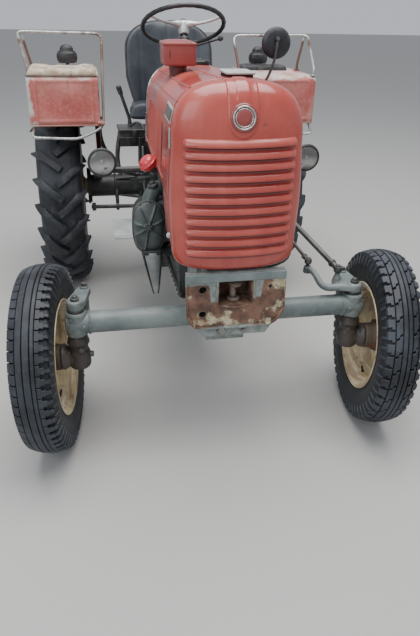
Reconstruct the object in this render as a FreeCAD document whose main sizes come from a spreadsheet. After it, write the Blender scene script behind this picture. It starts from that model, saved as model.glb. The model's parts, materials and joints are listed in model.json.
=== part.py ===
import FreeCAD
import Part

import math
import os

import Sketcher

# Light farm tractor. The front of the tractor faces -Y, +Z is up and +X is the
# tractor's left. Every sub-part is drawn with the front axle at y = 0 and the
# ground at z = 0, then moved by front_axle_y, so that the origin sits on the
# ground under the middle of the whole tractor.

doc = FreeCAD.newDocument("tractor")
sheet = doc.addObject("Spreadsheet::Sheet", "Sizes")

# Driving sizes in millimetres and degrees
SIZES = [
    ("wheelbase", 1660),
    ("front_axle_y", -930),
    ("front_tyre_radius", 352),
    ("front_tyre_half_width", 71),
    ("front_bead_radius", 204),
    ("front_wheel_offset", 107),
    ("kingpin_x", 535),
    ("camber_angle", 2.5),
    ("rest_steer_angle", -7.5),
    ("rear_tyre_radius", 558),
    ("rear_tyre_half_width", 115),
    ("rear_bead_radius", 356),
    ("rear_wheel_x", 608),
    ("axle_tube_radius", 38),
    ("axle_tube_height", 498),
    ("axle_boss_radius", 46),
    ("kingpin_radius", 17),
    ("pin_fit", 0.05),
    ("seat_gap", 0.3),
    ("arm_bottom", 560),
    ("arm_thickness", 26),
    ("tie_arm_back", 120),
    ("tie_arm_inset", 18),
    ("tie_rod_height", 415),
    ("engine_half_width", 130),
    ("engine_front", 100),
    ("engine_rear", 640),
    ("engine_top", 990),
    ("bolster_top", 766),
    ("plate_front", -234),
    ("plate_top", 766),
    ("plate_thickness", 20),
    ("nose_front", -246),
    ("nose_rear", -150),
    ("nose_bottom", 766.3),
    ("nose_half_width", 200),
    ("nose_waist", 212),
    ("nose_foot_half_width", 184),
    ("nose_corner", 80),
    ("bonnet_top", 1347),
    ("bonnet_bottom", 985),
    ("bonnet_rear", 800),
    ("bonnet_rear_half_width", 178),
    ("bonnet_rear_top", 1312),
    ("cover_rear", 30),
    ("sheet_thickness", 6),
    ("gearbox_half_width", 115),
    ("gearbox_rear", 1560),
    ("gearbox_top", 800),
    ("trumpet_radius", 65),
    ("trumpet_end", 470),
    ("drop_arm_y", 700),
    ("drop_arm_height", 927),
    ("drop_arm_x", 232),
    ("steering_wheel_y", 916),
    ("steering_wheel_height", 1455),
    ("steering_wheel_radius", 190),
    ("steering_tilt", 27),
    ("lamp_x", 402),
    ("lamp_height", 1006),
    ("fender_inner", 380),
    ("fender_outer", 716),
    ("fender_reach", 548),
    ("fender_clearance", 113),
    ("fender_drop", 227),
    ("rail_radius", 10),
    ("rail_height", 176),
    ("seat_height", 1000),
]
for row, (name, number) in enumerate(SIZES, 1):
    sheet.set("A%d" % row, name)
    sheet.set("B%d" % row, str(number))
    sheet.setAlias("B%d" % row, name)
doc.recompute()


class Length:
    """A number together with the sheet expression that gives it."""

    def __init__(self, number, text, tied=True):
        self.number = number
        self.text = text
        self.tied = tied

    def join(self, other, sign, swap=False):
        one, two = (length(other), self) if swap else (self, length(other))
        result = {"+": one.number + two.number, "-": one.number - two.number, "*": one.number * two.number}
        return Length(result[sign], "(%s %s %s)" % (one.text, sign, two.text), one.tied or two.tied)

    def __add__(self, other):
        return self.join(other, "+")

    def __radd__(self, other):
        return self.join(other, "+", True)

    def __sub__(self, other):
        return self.join(other, "-")

    def __rsub__(self, other):
        return self.join(other, "-", True)

    def __mul__(self, other):
        return self.join(other, "*")

    def __rmul__(self, other):
        return self.join(other, "*", True)

    def __neg__(self):
        return 0 - self


def length(item):
    """Any plain number as a length that no sheet cell drives."""
    return item if isinstance(item, Length) else Length(float(item), "(%.9f)" % item, False)


def number(item):
    return length(item).number


class SheetSizes:
    """Every size of the sheet by its name."""

    def __getattr__(self, name):
        return Length(float(sheet.get(name)), "Sizes." + name)


S = SheetSizes()


def bind(item, prop, amount):
    item.setExpression(prop, length(amount).text)


def box(x, y, z):
    """Block between low and high faces on each axis."""
    item = doc.addObject("Part::Box", "Block")
    for prop, axis, (low, high) in zip(("Length", "Width", "Height"), "xyz", (x, y, z)):
        bind(item, prop, length(high) - low)
        bind(item, "Placement.Base." + axis, low)
    return item


TURNS = {
    "x": FreeCAD.Rotation(FreeCAD.Vector(0, 1, 0), 90),
    "y": FreeCAD.Rotation(FreeCAD.Vector(1, 0, 0), -90),
    "z": FreeCAD.Rotation(),
}


def rod(axis, start, reach, radius, top_radius=None):
    """Cylinder, or cone, that starts at a point and runs along an axis."""
    item = doc.addObject("Part::Cylinder" if top_radius is None else "Part::Cone", "Rod")
    if top_radius is None:
        bind(item, "Radius", radius)
    else:
        bind(item, "Radius1", radius)
        bind(item, "Radius2", top_radius)
    bind(item, "Height", reach)
    turn = TURNS[axis] if isinstance(axis, str) else axis
    item.Placement = FreeCAD.Placement(FreeCAD.Vector(0, 0, 0), turn)
    for letter, amount in zip("xyz", start):
        bind(item, "Placement.Base." + letter, amount)
    return item


def draw(body, plane, points, level):
    """Closed outline of straight lines, with all its corners tied to the sheet."""
    sketch = body.newObject("Sketcher::SketchObject", "Outline")
    origin = [feature for feature in body.Origin.OriginFeatures if feature.Role == plane][0]
    sketch.AttachmentSupport = [(origin, "")]
    sketch.MapMode = "FlatFace"
    bind(sketch, "AttachmentOffset.Base.z", level)
    spots = [FreeCAD.Vector(number(a), number(b), 0) for a, b in points]
    count = len(spots)
    for i in range(count):
        sketch.addGeometry(Part.LineSegment(spots[i], spots[(i + 1) % count]), False)
    for i in range(count):
        sketch.addConstraint(Sketcher.Constraint("Coincident", i, 2, (i + 1) % count, 1))
    for i, (a, b) in enumerate(points):
        for kind, amount in (("DistanceX", length(a)), ("DistanceY", length(b))):
            index = sketch.addConstraint(Sketcher.Constraint(kind, -1, 1, i, 1, amount.number))
            if amount.tied:
                sketch.setExpression("Constraints[%d]" % index, amount.text)
    return sketch


def prism(plane, points, low, high):
    """Outline on a plane, padded from one level to another."""
    body = doc.addObject("PartDesign::Body", "Shape")
    sketch = draw(body, plane, points, low)
    pad = body.newObject("PartDesign::Pad", "Pad")
    pad.Profile = sketch
    bind(pad, "Length", length(high) - low)
    body.Tip = pad
    return body


def turned(points):
    """Solid of revolution about X from an outline of (x, radius) corners."""
    body = doc.addObject("PartDesign::Body", "Shape")
    sketch = draw(body, "XZ_Plane", points, 0)
    turn = body.newObject("PartDesign::Revolution", "Turn")
    turn.Profile = sketch
    turn.ReferenceAxis = (sketch, ["H_Axis"])
    turn.Angle = 360
    body.Tip = turn
    return body


def loft(sections):
    """Skin with straight rulings over (y, outline) sections of equal corner count."""
    body = doc.addObject("PartDesign::Body", "Shape")
    sketches = [draw(body, "XZ_Plane", points, -length(y)) for y, points in sections]
    skin = body.newObject("PartDesign::AdditiveLoft", "Loft")
    skin.Profile = sketches[0]
    skin.Sections = sketches[1:]
    skin.Ruled = True
    body.Tip = skin
    return body


def tube(points, radius, bend_radius):
    """Round bar along a path, with one bend radius at all its corners."""
    spots = [FreeCAD.Vector(*[number(c) for c in point]) for point in points]
    edges = []
    start = spots[0]
    for before, corner, after in zip(spots, spots[1:], spots[2:]):
        one = (before - corner).normalize()
        two = (after - corner).normalize()
        half = one.getAngle(two) / 2
        room = 0.45 * min((before - corner).Length, (after - corner).Length)
        reach = min(number(bend_radius) / math.tan(half), room)
        inner = reach * math.tan(half)
        middle = (one + two).normalize()
        centre = corner + middle * (inner / math.sin(half))
        first = corner + one * reach
        last = corner + two * reach
        edges.append(Part.LineSegment(start, first).toShape())
        edges.append(Part.Arc(first, centre - middle * inner, last).toShape())
        start = last
    edges.append(Part.LineSegment(start, spots[-1]).toShape())
    ring = Part.Wire([Part.makeCircle(number(radius), spots[0], spots[1] - spots[0])])
    item = doc.addObject("Part::Feature", "Tube")
    item.Shape = Part.Wire(edges).makePipeShell([ring], True, True)
    return item


def fuse(items):
    if len(items) == 1:
        return items[0]
    item = doc.addObject("Part::MultiFuse", "Union")
    item.Shapes = items
    return item


def group(items):
    """Loose pieces of one kind kept together."""
    item = doc.addObject("Part::Compound", "Set")
    item.Links = items
    return item


parts = []


def finish(label, item, cuts=(), at=(0, S.front_axle_y, 0), turn=None):
    """Names a sub-part and puts it in the frame of the whole tractor."""
    if cuts:
        whole = doc.addObject("Part::Cut", "Cut")
        whole.Base = item
        whole.Tool = fuse(list(cuts))
        item = whole
    holder = doc.addObject("Part::Compound", label)
    holder.Links = [item]
    holder.Label = label
    if turn is not None:
        holder.Placement = FreeCAD.Placement(FreeCAD.Vector(0, 0, 0), turn)
    for letter, amount in zip("xyz", at):
        bind(holder, "Placement.Base." + letter, amount)
    parts.append(holder)


def bend(x, z, radius, start, end, steps=3):
    """Corners along a round stretch about a centre, from one angle to another."""
    angles = [math.radians(start + (end - start) * i / steps) for i in range(steps + 1)]
    return [(x + radius * math.cos(a), z + radius * math.sin(a)) for a in angles]


def span(side, low, high):
    """Stretch of x on one side of the middle plane, lowest end first."""
    return (low, high) if side > 0 else (-length(high), -length(low))


X_AXIS = FreeCAD.Vector(1, 0, 0)
Y_AXIS = FreeCAD.Vector(0, 1, 0)
Z_AXIS = FreeCAD.Vector(0, 0, 1)
SIDES = ((1, "left"), (-1, "right"))
steer = FreeCAD.Rotation(Z_AXIS, number(S.rest_steer_angle))
camber = FreeCAD.Rotation(Y_AXIS, number(S.camber_angle))
half_turn = FreeCAD.Rotation(Z_AXIS, 180)

# Engine as one block with its sump
sump_bottom = 440
finish("engine_block", fuse([
    box((-S.engine_half_width, S.engine_half_width), (S.engine_front, S.engine_rear), (520, S.engine_top)),
    box((-90, 90), (S.engine_front + 100, S.engine_rear - 40), (sump_bottom, 530)),
]))

# Radiator behind the nose
finish("radiator", box((-136, 136), (-120, -30), (S.bolster_top, 1230)))

# Housing on the tractor's right of the engine, with its tapered fin
housing_bottom = 612
finish("cooling_housing", fuse([
    box((-292, -S.engine_half_width), (330, 500), (housing_bottom, 850)),
    prism("XZ_Plane", [(-286, housing_bottom + 8), (-190, housing_bottom + 8), (-190, 430), (-206, 424)], -360, -345),
]))

# Clutch and gearbox housing
finish("gearbox_housing", fuse([
    box((-S.gearbox_half_width, S.gearbox_half_width), (S.engine_rear, S.gearbox_rear), (sump_bottom, S.gearbox_top)),
    box((-150, 150), (S.engine_rear, S.engine_rear + 60), (sump_bottom - 10, S.gearbox_top)),
]))

# Rear axle housing with both trumpets, pads for the fenders, drive stub and hitch
pad_half_length = 40
pad_top = S.rear_tyre_radius + 82
casting_rear = S.wheelbase + 100
stub_radius = 17.5
hitch_pin_radius = 16
rear_housing = [
    box((-140, 140), (S.gearbox_rear, casting_rear), (430, 760)),
    rod("y", (0, casting_rear, 600), 75, stub_radius),
]
for side, word in SIDES:
    trumpet = span(side, 140, S.trumpet_end)[0]
    flange = span(side, S.trumpet_end - 16, S.trumpet_end)[0]
    rear_housing.append(rod("x", (trumpet, S.wheelbase, S.rear_tyre_radius), S.trumpet_end - 140, S.trumpet_radius))
    rear_housing.append(rod("x", (flange, S.wheelbase, S.rear_tyre_radius), 16, S.trumpet_radius + 40))
    rear_housing.append(box(span(side, S.fender_inner, S.fender_inner + 50),
                            (S.wheelbase - pad_half_length, S.wheelbase + pad_half_length),
                            (S.rear_tyre_radius, pad_top)))
axle_bores = [rod("x", (span(side, S.trumpet_end - 50, S.trumpet_end)[0], S.wheelbase, S.rear_tyre_radius), 50,
                  S.pin_fit + 30) for side, word in SIDES]
finish("rear_axle_housing", fuse(rear_housing), axle_bores)

# Rear hitch with its pin hole
hitch = fuse([
    box((-80, 80), (casting_rear, casting_rear + 30), (380, 560)),
    box((-45, 45), (casting_rear + 30, casting_rear + 170), (400, 425)),
])
finish("rear_hitch", hitch, [rod("z", (0, casting_rear + 135, 390), 50, hitch_pin_radius)])

# Front bolster: face plate, ears for the axle pivot, tow recess and bolt holes
recess_low = 648
recess_high = 747
tow_pin_radius = 12
tow_pin_y = S.plate_front + 44
face_plate = prism("XZ_Plane", [
    (-167, 700), (-167, S.plate_top), (167, S.plate_top), (167, 700), (172, 625), (110, 532), (-110, 532), (-162, 610),
], -S.plate_front - S.plate_thickness, -S.plate_front)
bolster = fuse([
    face_plate,
    box((-95, 95), (S.plate_front + S.plate_thickness, -100), (560, S.bolster_top)),
    box((-110, 110), (-100, S.engine_front), (552, S.bolster_top)),
    box((-70, 70), (-100, -68), (440, 552)),
    box((-70, 70), (68, S.engine_front), (440, 552)),
])
bolster_cuts = [
    box((-57, 57), (S.plate_front, S.plate_front + 80), (recess_low, recess_high)),
    rod("z", (0, tow_pin_y, 500), 200, S.pin_fit + tow_pin_radius),
    rod("y", (0, -110, S.axle_tube_height), 220, S.pin_fit + 20),
]
for x, z, radius in ((-112, 707, 14), (-112, 618, 13), (118, 708, 7)):
    bolster_cuts.append(rod("y", (x, S.plate_front, z), 30, radius))
finish("front_bolster", bolster, bolster_cuts)

# Tow pin with its ring in the recess
tow_ring = doc.addObject("Part::Torus", "Ring")
tow_ring.Radius1 = 15
tow_ring.Radius2 = 5
tow_ring.Placement = FreeCAD.Placement(FreeCAD.Vector(0, 0, 0), FreeCAD.Rotation(X_AXIS, 90))
bind(tow_ring, "Placement.Base.y", tow_pin_y)
bind(tow_ring, "Placement.Base.z", recess_high - 24)
finish("tow_pin", fuse([rod("z", (0, tow_pin_y, 565), recess_high - 38 - 565, tow_pin_radius), tow_ring]))

# Front axle tube, its pivot block and the upright bosses for the kingpins
boss_bottom = 440
axle_tube = [
    rod("x", (-S.kingpin_x, 0, S.axle_tube_height), 2 * S.kingpin_x, S.axle_tube_radius),
    box((-65, 65), (-60, 60), (S.axle_tube_height - 44, S.axle_tube_height + 47)),
    rod("y", (0, -104, S.axle_tube_height), 204, 20),
]
kingpin_bores = []
for side, word in SIDES:
    axle_tube.append(rod("z", (side * S.kingpin_x, 0, boss_bottom), S.arm_bottom - 4 - boss_bottom, S.axle_boss_radius))
    kingpin_bores.append(rod("z", (side * S.kingpin_x, 0, boss_bottom - 10), 140, S.kingpin_radius + S.pin_fit))
finish("front_axle_tube", fuse(axle_tube), kingpin_bores)

# Height of the front wheel centre, so that the leaning tyre meets the ground
lean = math.radians(number(S.camber_angle))
crown_half_width = 20
hub_height = number(S.front_tyre_radius) * math.cos(lean) + crown_half_width * math.sin(lean)
spindle_height = hub_height + number(S.front_wheel_offset) * math.sin(lean)


def knuckle(arm_outline, side):
    """Kingpin, drop, spindle and steering arm, drawn with the kingpin at x = y = 0."""
    out = FreeCAD.Rotation(Y_AXIS, side * 90 + side * number(S.camber_angle))
    drop_bottom = 312
    tie_pin_bottom = S.tie_rod_height + 22
    return [
        rod("z", (0, 0, 380), S.arm_bottom - 370, S.kingpin_radius),
        rod("z", (0, 0, drop_bottom), boss_bottom - 6 - drop_bottom, 34),
        rod(out, (0, 0, spindle_height), S.front_wheel_offset + 50, 22 - S.pin_fit),
        rod(out, (0, 0, spindle_height), S.front_wheel_offset - 20, 29),
        rod("z", (0, 0, S.arm_bottom), S.arm_thickness + 10, 36),
        prism("XY_Plane", arm_outline, S.arm_bottom, S.arm_bottom + S.arm_thickness),
        rod("z", (-side * S.tie_arm_inset, S.tie_arm_back, tie_pin_bottom),
            S.arm_bottom + S.arm_thickness - tie_pin_bottom, 13),
    ]


# Ball pins of the left knuckle for the two steering rods, from its kingpin
DRAG_PIN = (-60, 42, 612)
LINK_PIN = (-172, 81, 635)

# Left knuckle with one branch for each steering rod
left_arm = [(0, -34), (34, 0), (6, 128), (-2, 138), (-34, 138), (-42, 122), (-44, 60), (-60, 62), (-79, 50), (-79, 34),
            (-60, 22), (-40, 10), (-80, 4), (-80, -20), (-40, -26)]
left_knuckle = knuckle(left_arm, 1)
left_knuckle.append(tube([(-60, -8, 573), (-128, -14, 573), (-152, 40, 613), (-172, 81, 618)], 12, 24))
left_knuckle.append(rod("z", (LINK_PIN[0], LINK_PIN[1], 602), LINK_PIN[2] - S.seat_gap - 602, 13))
left_knuckle.append(rod("z", (DRAG_PIN[0], DRAG_PIN[1], S.arm_bottom), DRAG_PIN[2] - S.seat_gap - S.arm_bottom, 17))
finish("knuckle_left", fuse(left_knuckle), at=(S.kingpin_x, S.front_axle_y, 0), turn=steer)

# Right knuckle with its plain arm
right_arm = [(0, -34), (-34, 0), (-6, 128), (2, 138), (34, 138), (42, 122), (36, 0)]
finish("knuckle_right", fuse(knuckle(right_arm, -1)), at=(-S.kingpin_x, S.front_axle_y, 0), turn=steer)


def steered(side, x, y, z):
    """Point of a knuckle at rest, in the frame with the front axle at y = 0."""
    spot = steer.multVec(FreeCAD.Vector(number(x), number(y), number(z)))
    return (spot.x + side * number(S.kingpin_x), spot.y, spot.z)


# Tie rod behind the axle
tie_left = steered(1, -S.tie_arm_inset, S.tie_arm_back, S.tie_rod_height)
tie_right = steered(-1, S.tie_arm_inset, S.tie_arm_back, S.tie_rod_height)
finish("tie_rod", fuse([
    tube([tie_right, tie_left], 13, 1),
    rod("z", (tie_right[0], tie_right[1], S.tie_rod_height - 18), 40 - S.seat_gap, 20),
    rod("z", (tie_left[0], tie_left[1], S.tie_rod_height - 18), 35, 20),
]))

# Steering rods from the left knuckle back to the drop arm of the steering box
drag_front = steered(1, *DRAG_PIN)
link_front = steered(1, *LINK_PIN)
drag_rear = (number(S.drop_arm_x) + 34, number(S.drop_arm_y), number(S.drop_arm_height) - 81)
link_rear = (number(S.drop_arm_x) + 108, number(S.drop_arm_y), number(S.drop_arm_height) - 221)
for label, front, rear, radius, eye, height in (("drag_link", drag_front, drag_rear, 11, 17, 30),
                                                ("steering_link", link_front, link_rear, 7, 12, 20)):
    finish(label, fuse([
        tube([(front[0], front[1], front[2] + height / 2), rear], radius, 1),
        rod("z", front, height, eye),
        rod("x", (rear[0] - 11, rear[1], rear[2]), 22, eye),
    ]))

# Drop arm beside the first rod, with a long stud towards the second
drop_arm_thickness = 16
stud_start = S.drop_arm_x + drop_arm_thickness - 2
finish("drop_arm", fuse([
    prism("YZ_Plane", [(S.drop_arm_y - 16, S.drop_arm_height - 240), (S.drop_arm_y + 16, S.drop_arm_height - 240),
                       (S.drop_arm_y + 34, S.drop_arm_height + 30), (S.drop_arm_y - 34, S.drop_arm_height + 30)],
          S.drop_arm_x, S.drop_arm_x + drop_arm_thickness),
    rod("x", (S.drop_arm_x - 44, S.drop_arm_y, S.drop_arm_height), 50, 15),
    rod("x", (stud_start, S.drop_arm_y, link_rear[2]), link_rear[0] - 20 - stud_start, 9),
]))

# Steering box on the gearbox, with its cross shaft housing and the column
tilt = FreeCAD.Rotation(X_AXIS, -number(S.steering_tilt))
column_axis = tilt.multVec(Z_AXIS)
wheel_centre = FreeCAD.Vector(0, number(S.steering_wheel_y), number(S.steering_wheel_height))
column_foot = wheel_centre - column_axis * 520
bore_start = wheel_centre - column_axis * 100
shaft_bore_start = S.drop_arm_x - 46
steering_box = fuse([
    box((-70, 70), (S.engine_rear + 10, S.engine_rear + 140), (S.gearbox_top + 20, 1010)),
    box((-60, 60), (S.engine_rear + 20, S.engine_rear + 130), (S.gearbox_top, S.gearbox_top + 40)),
    rod("x", (60, S.drop_arm_y, S.drop_arm_height), S.drop_arm_x - 16 - 60, 28),
    rod(tilt, tuple(column_foot), 470, 19),
])
finish("steering_box", steering_box, [
    rod(tilt, tuple(bore_start), 60, S.pin_fit + 10),
    rod("x", (shaft_bore_start, S.drop_arm_y, S.drop_arm_height), 60, S.pin_fit + 15),
])

# Steering wheel with three spokes
grip_radius = 11
grip = doc.addObject("Part::Torus", "Ring")
bind(grip, "Radius1", S.steering_wheel_radius - grip_radius)
grip.Radius2 = grip_radius
wheel_pieces = [grip, rod("z", (0, 0, -35), 50, 28), rod("z", (0, 0, -95), 80, 10)]
for angle in (90, 210, 330):
    spoke_turn = FreeCAD.Rotation(Z_AXIS, angle).multiply(TURNS["x"])
    wheel_pieces.append(rod(spoke_turn, (0, 0, 0), S.steering_wheel_radius - grip_radius, 7))
finish("steering_wheel", fuse(wheel_pieces),
       at=(0, S.steering_wheel_y + S.front_axle_y, S.steering_wheel_height), turn=tilt)


def tyre(half_width, radius, bead, bead_half_width, shoulder):
    """Tyre outline of (x, radius) corners, round at the shoulders."""
    right = [(bead_half_width, bead + 0.3), (bead_half_width + 1, bead + 18), (half_width, bead + 66)]
    right += bend(half_width - shoulder, radius - 6 - shoulder, shoulder, 12, 78)
    right += [(crown_half_width, radius)]
    left = [(-x, z) for x, z in reversed(right)]
    return right + left


# Wheels, drawn about X with the outer side at +X
bead = S.front_bead_radius
FRONT_RIM = [
    (-12, 22), (-12, 52), (22, 55), (22, bead - 6), (-56, bead - 6), (-61, bead + 6), (-61, bead + 14),
    (-56, bead + 14), (-54, bead), (54, bead), (56, bead + 14), (61, bead + 14), (61, bead + 6), (56, bead - 6),
    (28, bead - 6), (28, 60), (58, 52), (76, 40), (76, 0), (56, 0), (56, 22),
]
bead = S.rear_bead_radius
REAR_RIM = [
    (-188, 0), (-188, 30), (-100, 30), (-100, 95), (-88, 100), (-88, 200), (-45, bead - 26), (-45, bead - 8),
    (-98, bead - 8), (-105, bead + 6), (-105, bead + 18), (-99, bead + 18), (-96, bead), (96, bead), (99, bead + 18),
    (105, bead + 18), (105, bead + 6), (98, bead - 8), (-37, bead - 8), (-37, bead - 28), (-80, 198), (-80, 60),
    (-66, 60), (-66, 0),
]
FRONT_TYRE = tyre(S.front_tyre_half_width, S.front_tyre_radius, S.front_bead_radius, 53, 40)
REAR_TYRE = tyre(S.rear_tyre_half_width, S.rear_tyre_radius, S.rear_bead_radius, 95, 50)
for side, word in SIDES:
    turn = steer.multiply(camber if side > 0 else half_turn.multiply(camber))
    centre = steered(side, side * S.front_wheel_offset, 0, hub_height)
    at = (centre[0], S.front_axle_y + centre[1], centre[2])
    finish("front_rim_" + word, turned(FRONT_RIM), at=at, turn=turn)
    finish("front_tyre_" + word, turned(FRONT_TYRE), at=at, turn=turn)
    at = (side * S.rear_wheel_x, S.front_axle_y + S.wheelbase, S.rear_tyre_radius)
    turn = None if side > 0 else half_turn
    finish("rear_rim_" + word, turned(REAR_RIM), at=at, turn=turn)
    finish("rear_tyre_" + word, turned(REAR_TYRE), at=at, turn=turn)


def shoulder_line(half, top, inset, drop):
    """Upper right edge of nose or bonnet: round corner, then the low crown."""
    corner_centre = top - 107 - drop
    line = bend(half - S.nose_corner, corner_centre, S.nose_corner - inset, 0, 72)
    return line + [(60 - inset * 0.4, top - 4 - drop)]


def nose_section(inset, drop, rise):
    """Closed front view of the nose, drawn in by an inset, a drop and a rise."""
    low = S.nose_bottom + rise
    right = [(S.nose_foot_half_width - 34 - inset, low), (S.nose_foot_half_width - inset, low + 34),
             (S.nose_waist - 6 - inset, 880), (S.nose_waist - inset, 1020)]
    right += shoulder_line(S.nose_half_width, S.bonnet_top, inset, drop)
    left = [(-x, z) for x, z in reversed(right)]
    return right + [(0, S.bonnet_top - drop)] + left


def nose_skin(inset, drop, rise, front, rear):
    """Nose whose edges roll back, less at the sides than over the top."""
    depth = S.nose_rear - S.nose_front
    rows = ((1, 0, 0, 0), (0.58, 2, 14, 2), (0.27, 8, 38, 6), (0.08, 20, 72, 14), (0, 38, 110, 26))
    levels = [(S.nose_front + depth * part, side + inset, top + drop, foot + rise) for part, side, top, foot in rows]
    sections = [(y, nose_section(side, top, foot)) for y, side, top, foot in levels]
    sections[0] = (rear, sections[0][1])
    sections[-1] = (front, sections[-1][1])
    return loft(sections)


# Nose cowl, hollow from the back
finish("nose_cowl", nose_skin(0, 0, 0, S.nose_front, S.nose_rear),
       [nose_skin(S.sheet_thickness, S.sheet_thickness, S.sheet_thickness,
                  S.nose_front + S.sheet_thickness, S.nose_rear + 1)])


def bonnet_section(half, waist, top, inset, low):
    """Closed outline of the bonnet at one place along its length."""
    right = [(waist - inset, low)] + shoulder_line(half, top, inset, inset)
    left = [(-x, z) for x, z in reversed(right)]
    return right + [(0, top - inset)] + left


def bonnet_skin(inset, low):
    front = bonnet_section(S.nose_half_width, S.nose_waist - 1, S.bonnet_top, inset, low)
    rear = bonnet_section(S.bonnet_rear_half_width, S.bonnet_rear_half_width + 6, S.bonnet_rear_top, inset, low)
    return loft([(S.nose_rear, front), (S.bonnet_rear, rear)])


# Bonnet with the side covers of the radiator, open below and round the intake neck
intake_x = -110
intake_y = 330
neck_radius = 32
covers = []
for side, word in SIDES:
    outer = [(side * x, z) for x, z in (
        (S.nose_waist - 1, S.bonnet_bottom + 35), (S.nose_waist - 6, 880), (S.nose_foot_half_width, S.nose_bottom + 34),
        (S.nose_foot_half_width - 34, S.nose_bottom))]
    inner = [(x - side * S.sheet_thickness, z) for x, z in reversed(outer)]
    covers.append(prism("XZ_Plane", outer + inner, -S.cover_rear, -S.nose_rear))
finish("bonnet", fuse([bonnet_skin(0, S.bonnet_bottom)] + covers),
       [bonnet_skin(S.sheet_thickness, S.bonnet_bottom - 20), rod("z", (intake_x, intake_y, 1200), 200, neck_radius + 0.5)])

# Dash panel closing the back of the bonnet, open round the column
dash = prism("XZ_Plane", bonnet_section(S.bonnet_rear_half_width, S.bonnet_rear_half_width + 6, S.bonnet_rear_top, 0,
                                        S.bonnet_bottom), -S.bonnet_rear - 10, -S.bonnet_rear)
finish("dash_panel", dash, [rod(tilt, tuple(column_foot), 470, 26)])

# Air intake box with its neck through the bonnet, at the height that the crown has there
share_back = (intake_y - number(S.nose_rear)) / (number(S.bonnet_rear) - number(S.nose_rear))
intake_bottom = S.bonnet_top - (S.bonnet_top - S.bonnet_rear_top) * share_back + 16
finish("intake_box", fuse([
    box((intake_x - 61, intake_x + 61), (intake_y - 65, intake_y + 65), (intake_bottom, intake_bottom + 80)),
    rod("z", (intake_x, intake_y, intake_bottom - 55), 60, neck_radius),
]))

# Headlights on side arms from the engine
lamp_arm_y = 345
lamp_arm_radius = 12
lamp_arm_height = S.bonnet_bottom - lamp_arm_radius - 5
for side, word in SIDES:
    arm_start = span(side, S.engine_half_width, S.lamp_x)[0]
    finish("headlight_" + word, fuse([
        rod("x", (arm_start, lamp_arm_y, lamp_arm_height), S.lamp_x - S.engine_half_width, lamp_arm_radius),
        rod("y", (side * S.lamp_x, lamp_arm_y - 45, S.lamp_height), 45, 51),
        rod("y", (side * S.lamp_x, lamp_arm_y, S.lamp_height), 45, 51, 24),
    ]))

# Horn, a round shell that stands on the right headlight's arm
horn_x = -233
horn_height = S.lamp_height + 2
finish("horn", fuse([
    rod("y", (horn_x, lamp_arm_y - 65, horn_height), 45, 30),
    box((horn_x - 11, horn_x + 11), (lamp_arm_y - 25, lamp_arm_y + 5),
        (lamp_arm_height + lamp_arm_radius + S.seat_gap, horn_height - 8)),
]))

# Fenders with front sheet, top sheet, inner side sheet, outer lip and foot
lip_height = 30
fender_front = S.wheelbase - S.fender_reach
fender_top = 2 * S.rear_tyre_radius + S.fender_clearance
fender_foot = fender_top - S.fender_drop


def behind_axle(points):
    """Corners given behind the rear axle and below the fender's top."""
    return [(S.wheelbase + back, fender_top - below) for back, below in points]


front_edge = [(fender_front, fender_foot), (fender_front, fender_top)]
fender_line = front_edge + behind_axle([(-100, 0), (240, 54), (450, 199), (530, 379)])
inner_line = behind_axle([(524, 381), (444, 205), (236, 61), (-102, S.sheet_thickness)]) + [
    (fender_front + S.sheet_thickness, fender_top - S.sheet_thickness),
    (fender_front + S.sheet_thickness, fender_foot),
]
side_line = [(fender_front + 3, fender_foot), (fender_front + 3, fender_top - 3)] + behind_axle([
    (-101, 3), (238, 57), (447, 202), (527, 380), (290, 429)]) + [
    (S.wheelbase + 140, pad_top + 60), (S.wheelbase + pad_half_length, pad_top),
    (S.wheelbase - pad_half_length, pad_top), (S.wheelbase - 160, pad_top + 60),
] + behind_axle([(-360, 369)])
lip_line = fender_line + behind_axle([(500, 384), (425, 224), (228, 87), (-110, lip_height)]) + [
    (fender_front + lip_height, fender_top - lip_height), (fender_front + lip_height, fender_foot),
]
for side, word in SIDES:
    foot_y = (S.wheelbase - pad_half_length + 2, S.wheelbase + pad_half_length - 2)
    finish("fender_" + word, fuse([
        prism("YZ_Plane", fender_line + inner_line, *span(side, S.fender_inner, S.fender_outer)),
        prism("YZ_Plane", side_line, *span(side, S.fender_inner, S.fender_inner + S.sheet_thickness)),
        prism("YZ_Plane", lip_line, *span(side, S.fender_outer - S.sheet_thickness, S.fender_outer)),
        box(span(side, S.fender_inner, S.fender_inner + 50), foot_y, (pad_top, pad_top + 8)),
    ]))

# Cushions on the fenders: a wide thick one on the right, a flat one set back on the left
finish("fender_cushion_right", box(span(-1, S.fender_inner + 8, S.fender_outer - 38),
                                   (fender_front + 10, fender_front + 280), (fender_top, fender_top + 34)))
finish("fender_cushion_left", box(span(1, S.fender_inner + 14, S.fender_outer - 66),
                                  (fender_front + 296, fender_front + 416), (fender_top, fender_top + 28)))

# Hand rails: a loop under the front sheet, a leaning inner leg, the top bar and two outer legs
rail_front = fender_front - S.rail_radius - S.seat_gap
rail_rear = fender_front + 310
rail_top = fender_top + S.rail_height
foot_height = fender_top + S.seat_gap
for side, word in SIDES:
    loop = tube([
        (side * 700, rail_front, fender_foot + 40), (side * 712, rail_front, fender_foot - 52),
        (side * 490, rail_front, fender_foot - 62), (side * 368, rail_front, fender_foot - 8),
        (side * 344, rail_rear, rail_top - 6), (side * 758, rail_rear, rail_top),
        (side * 702, fender_front + 20, foot_height + 36), (side * 702, fender_front + 20, foot_height),
    ], S.rail_radius, 34)
    rear_leg = tube([(side * 738, rail_rear, rail_top - 2), (side * 704, rail_rear - 20, foot_height + 30),
                     (side * 704, rail_rear - 20, foot_height)], S.rail_radius, 12)
    finish("fender_rail_" + word, fuse([loop, rear_leg]))

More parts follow.
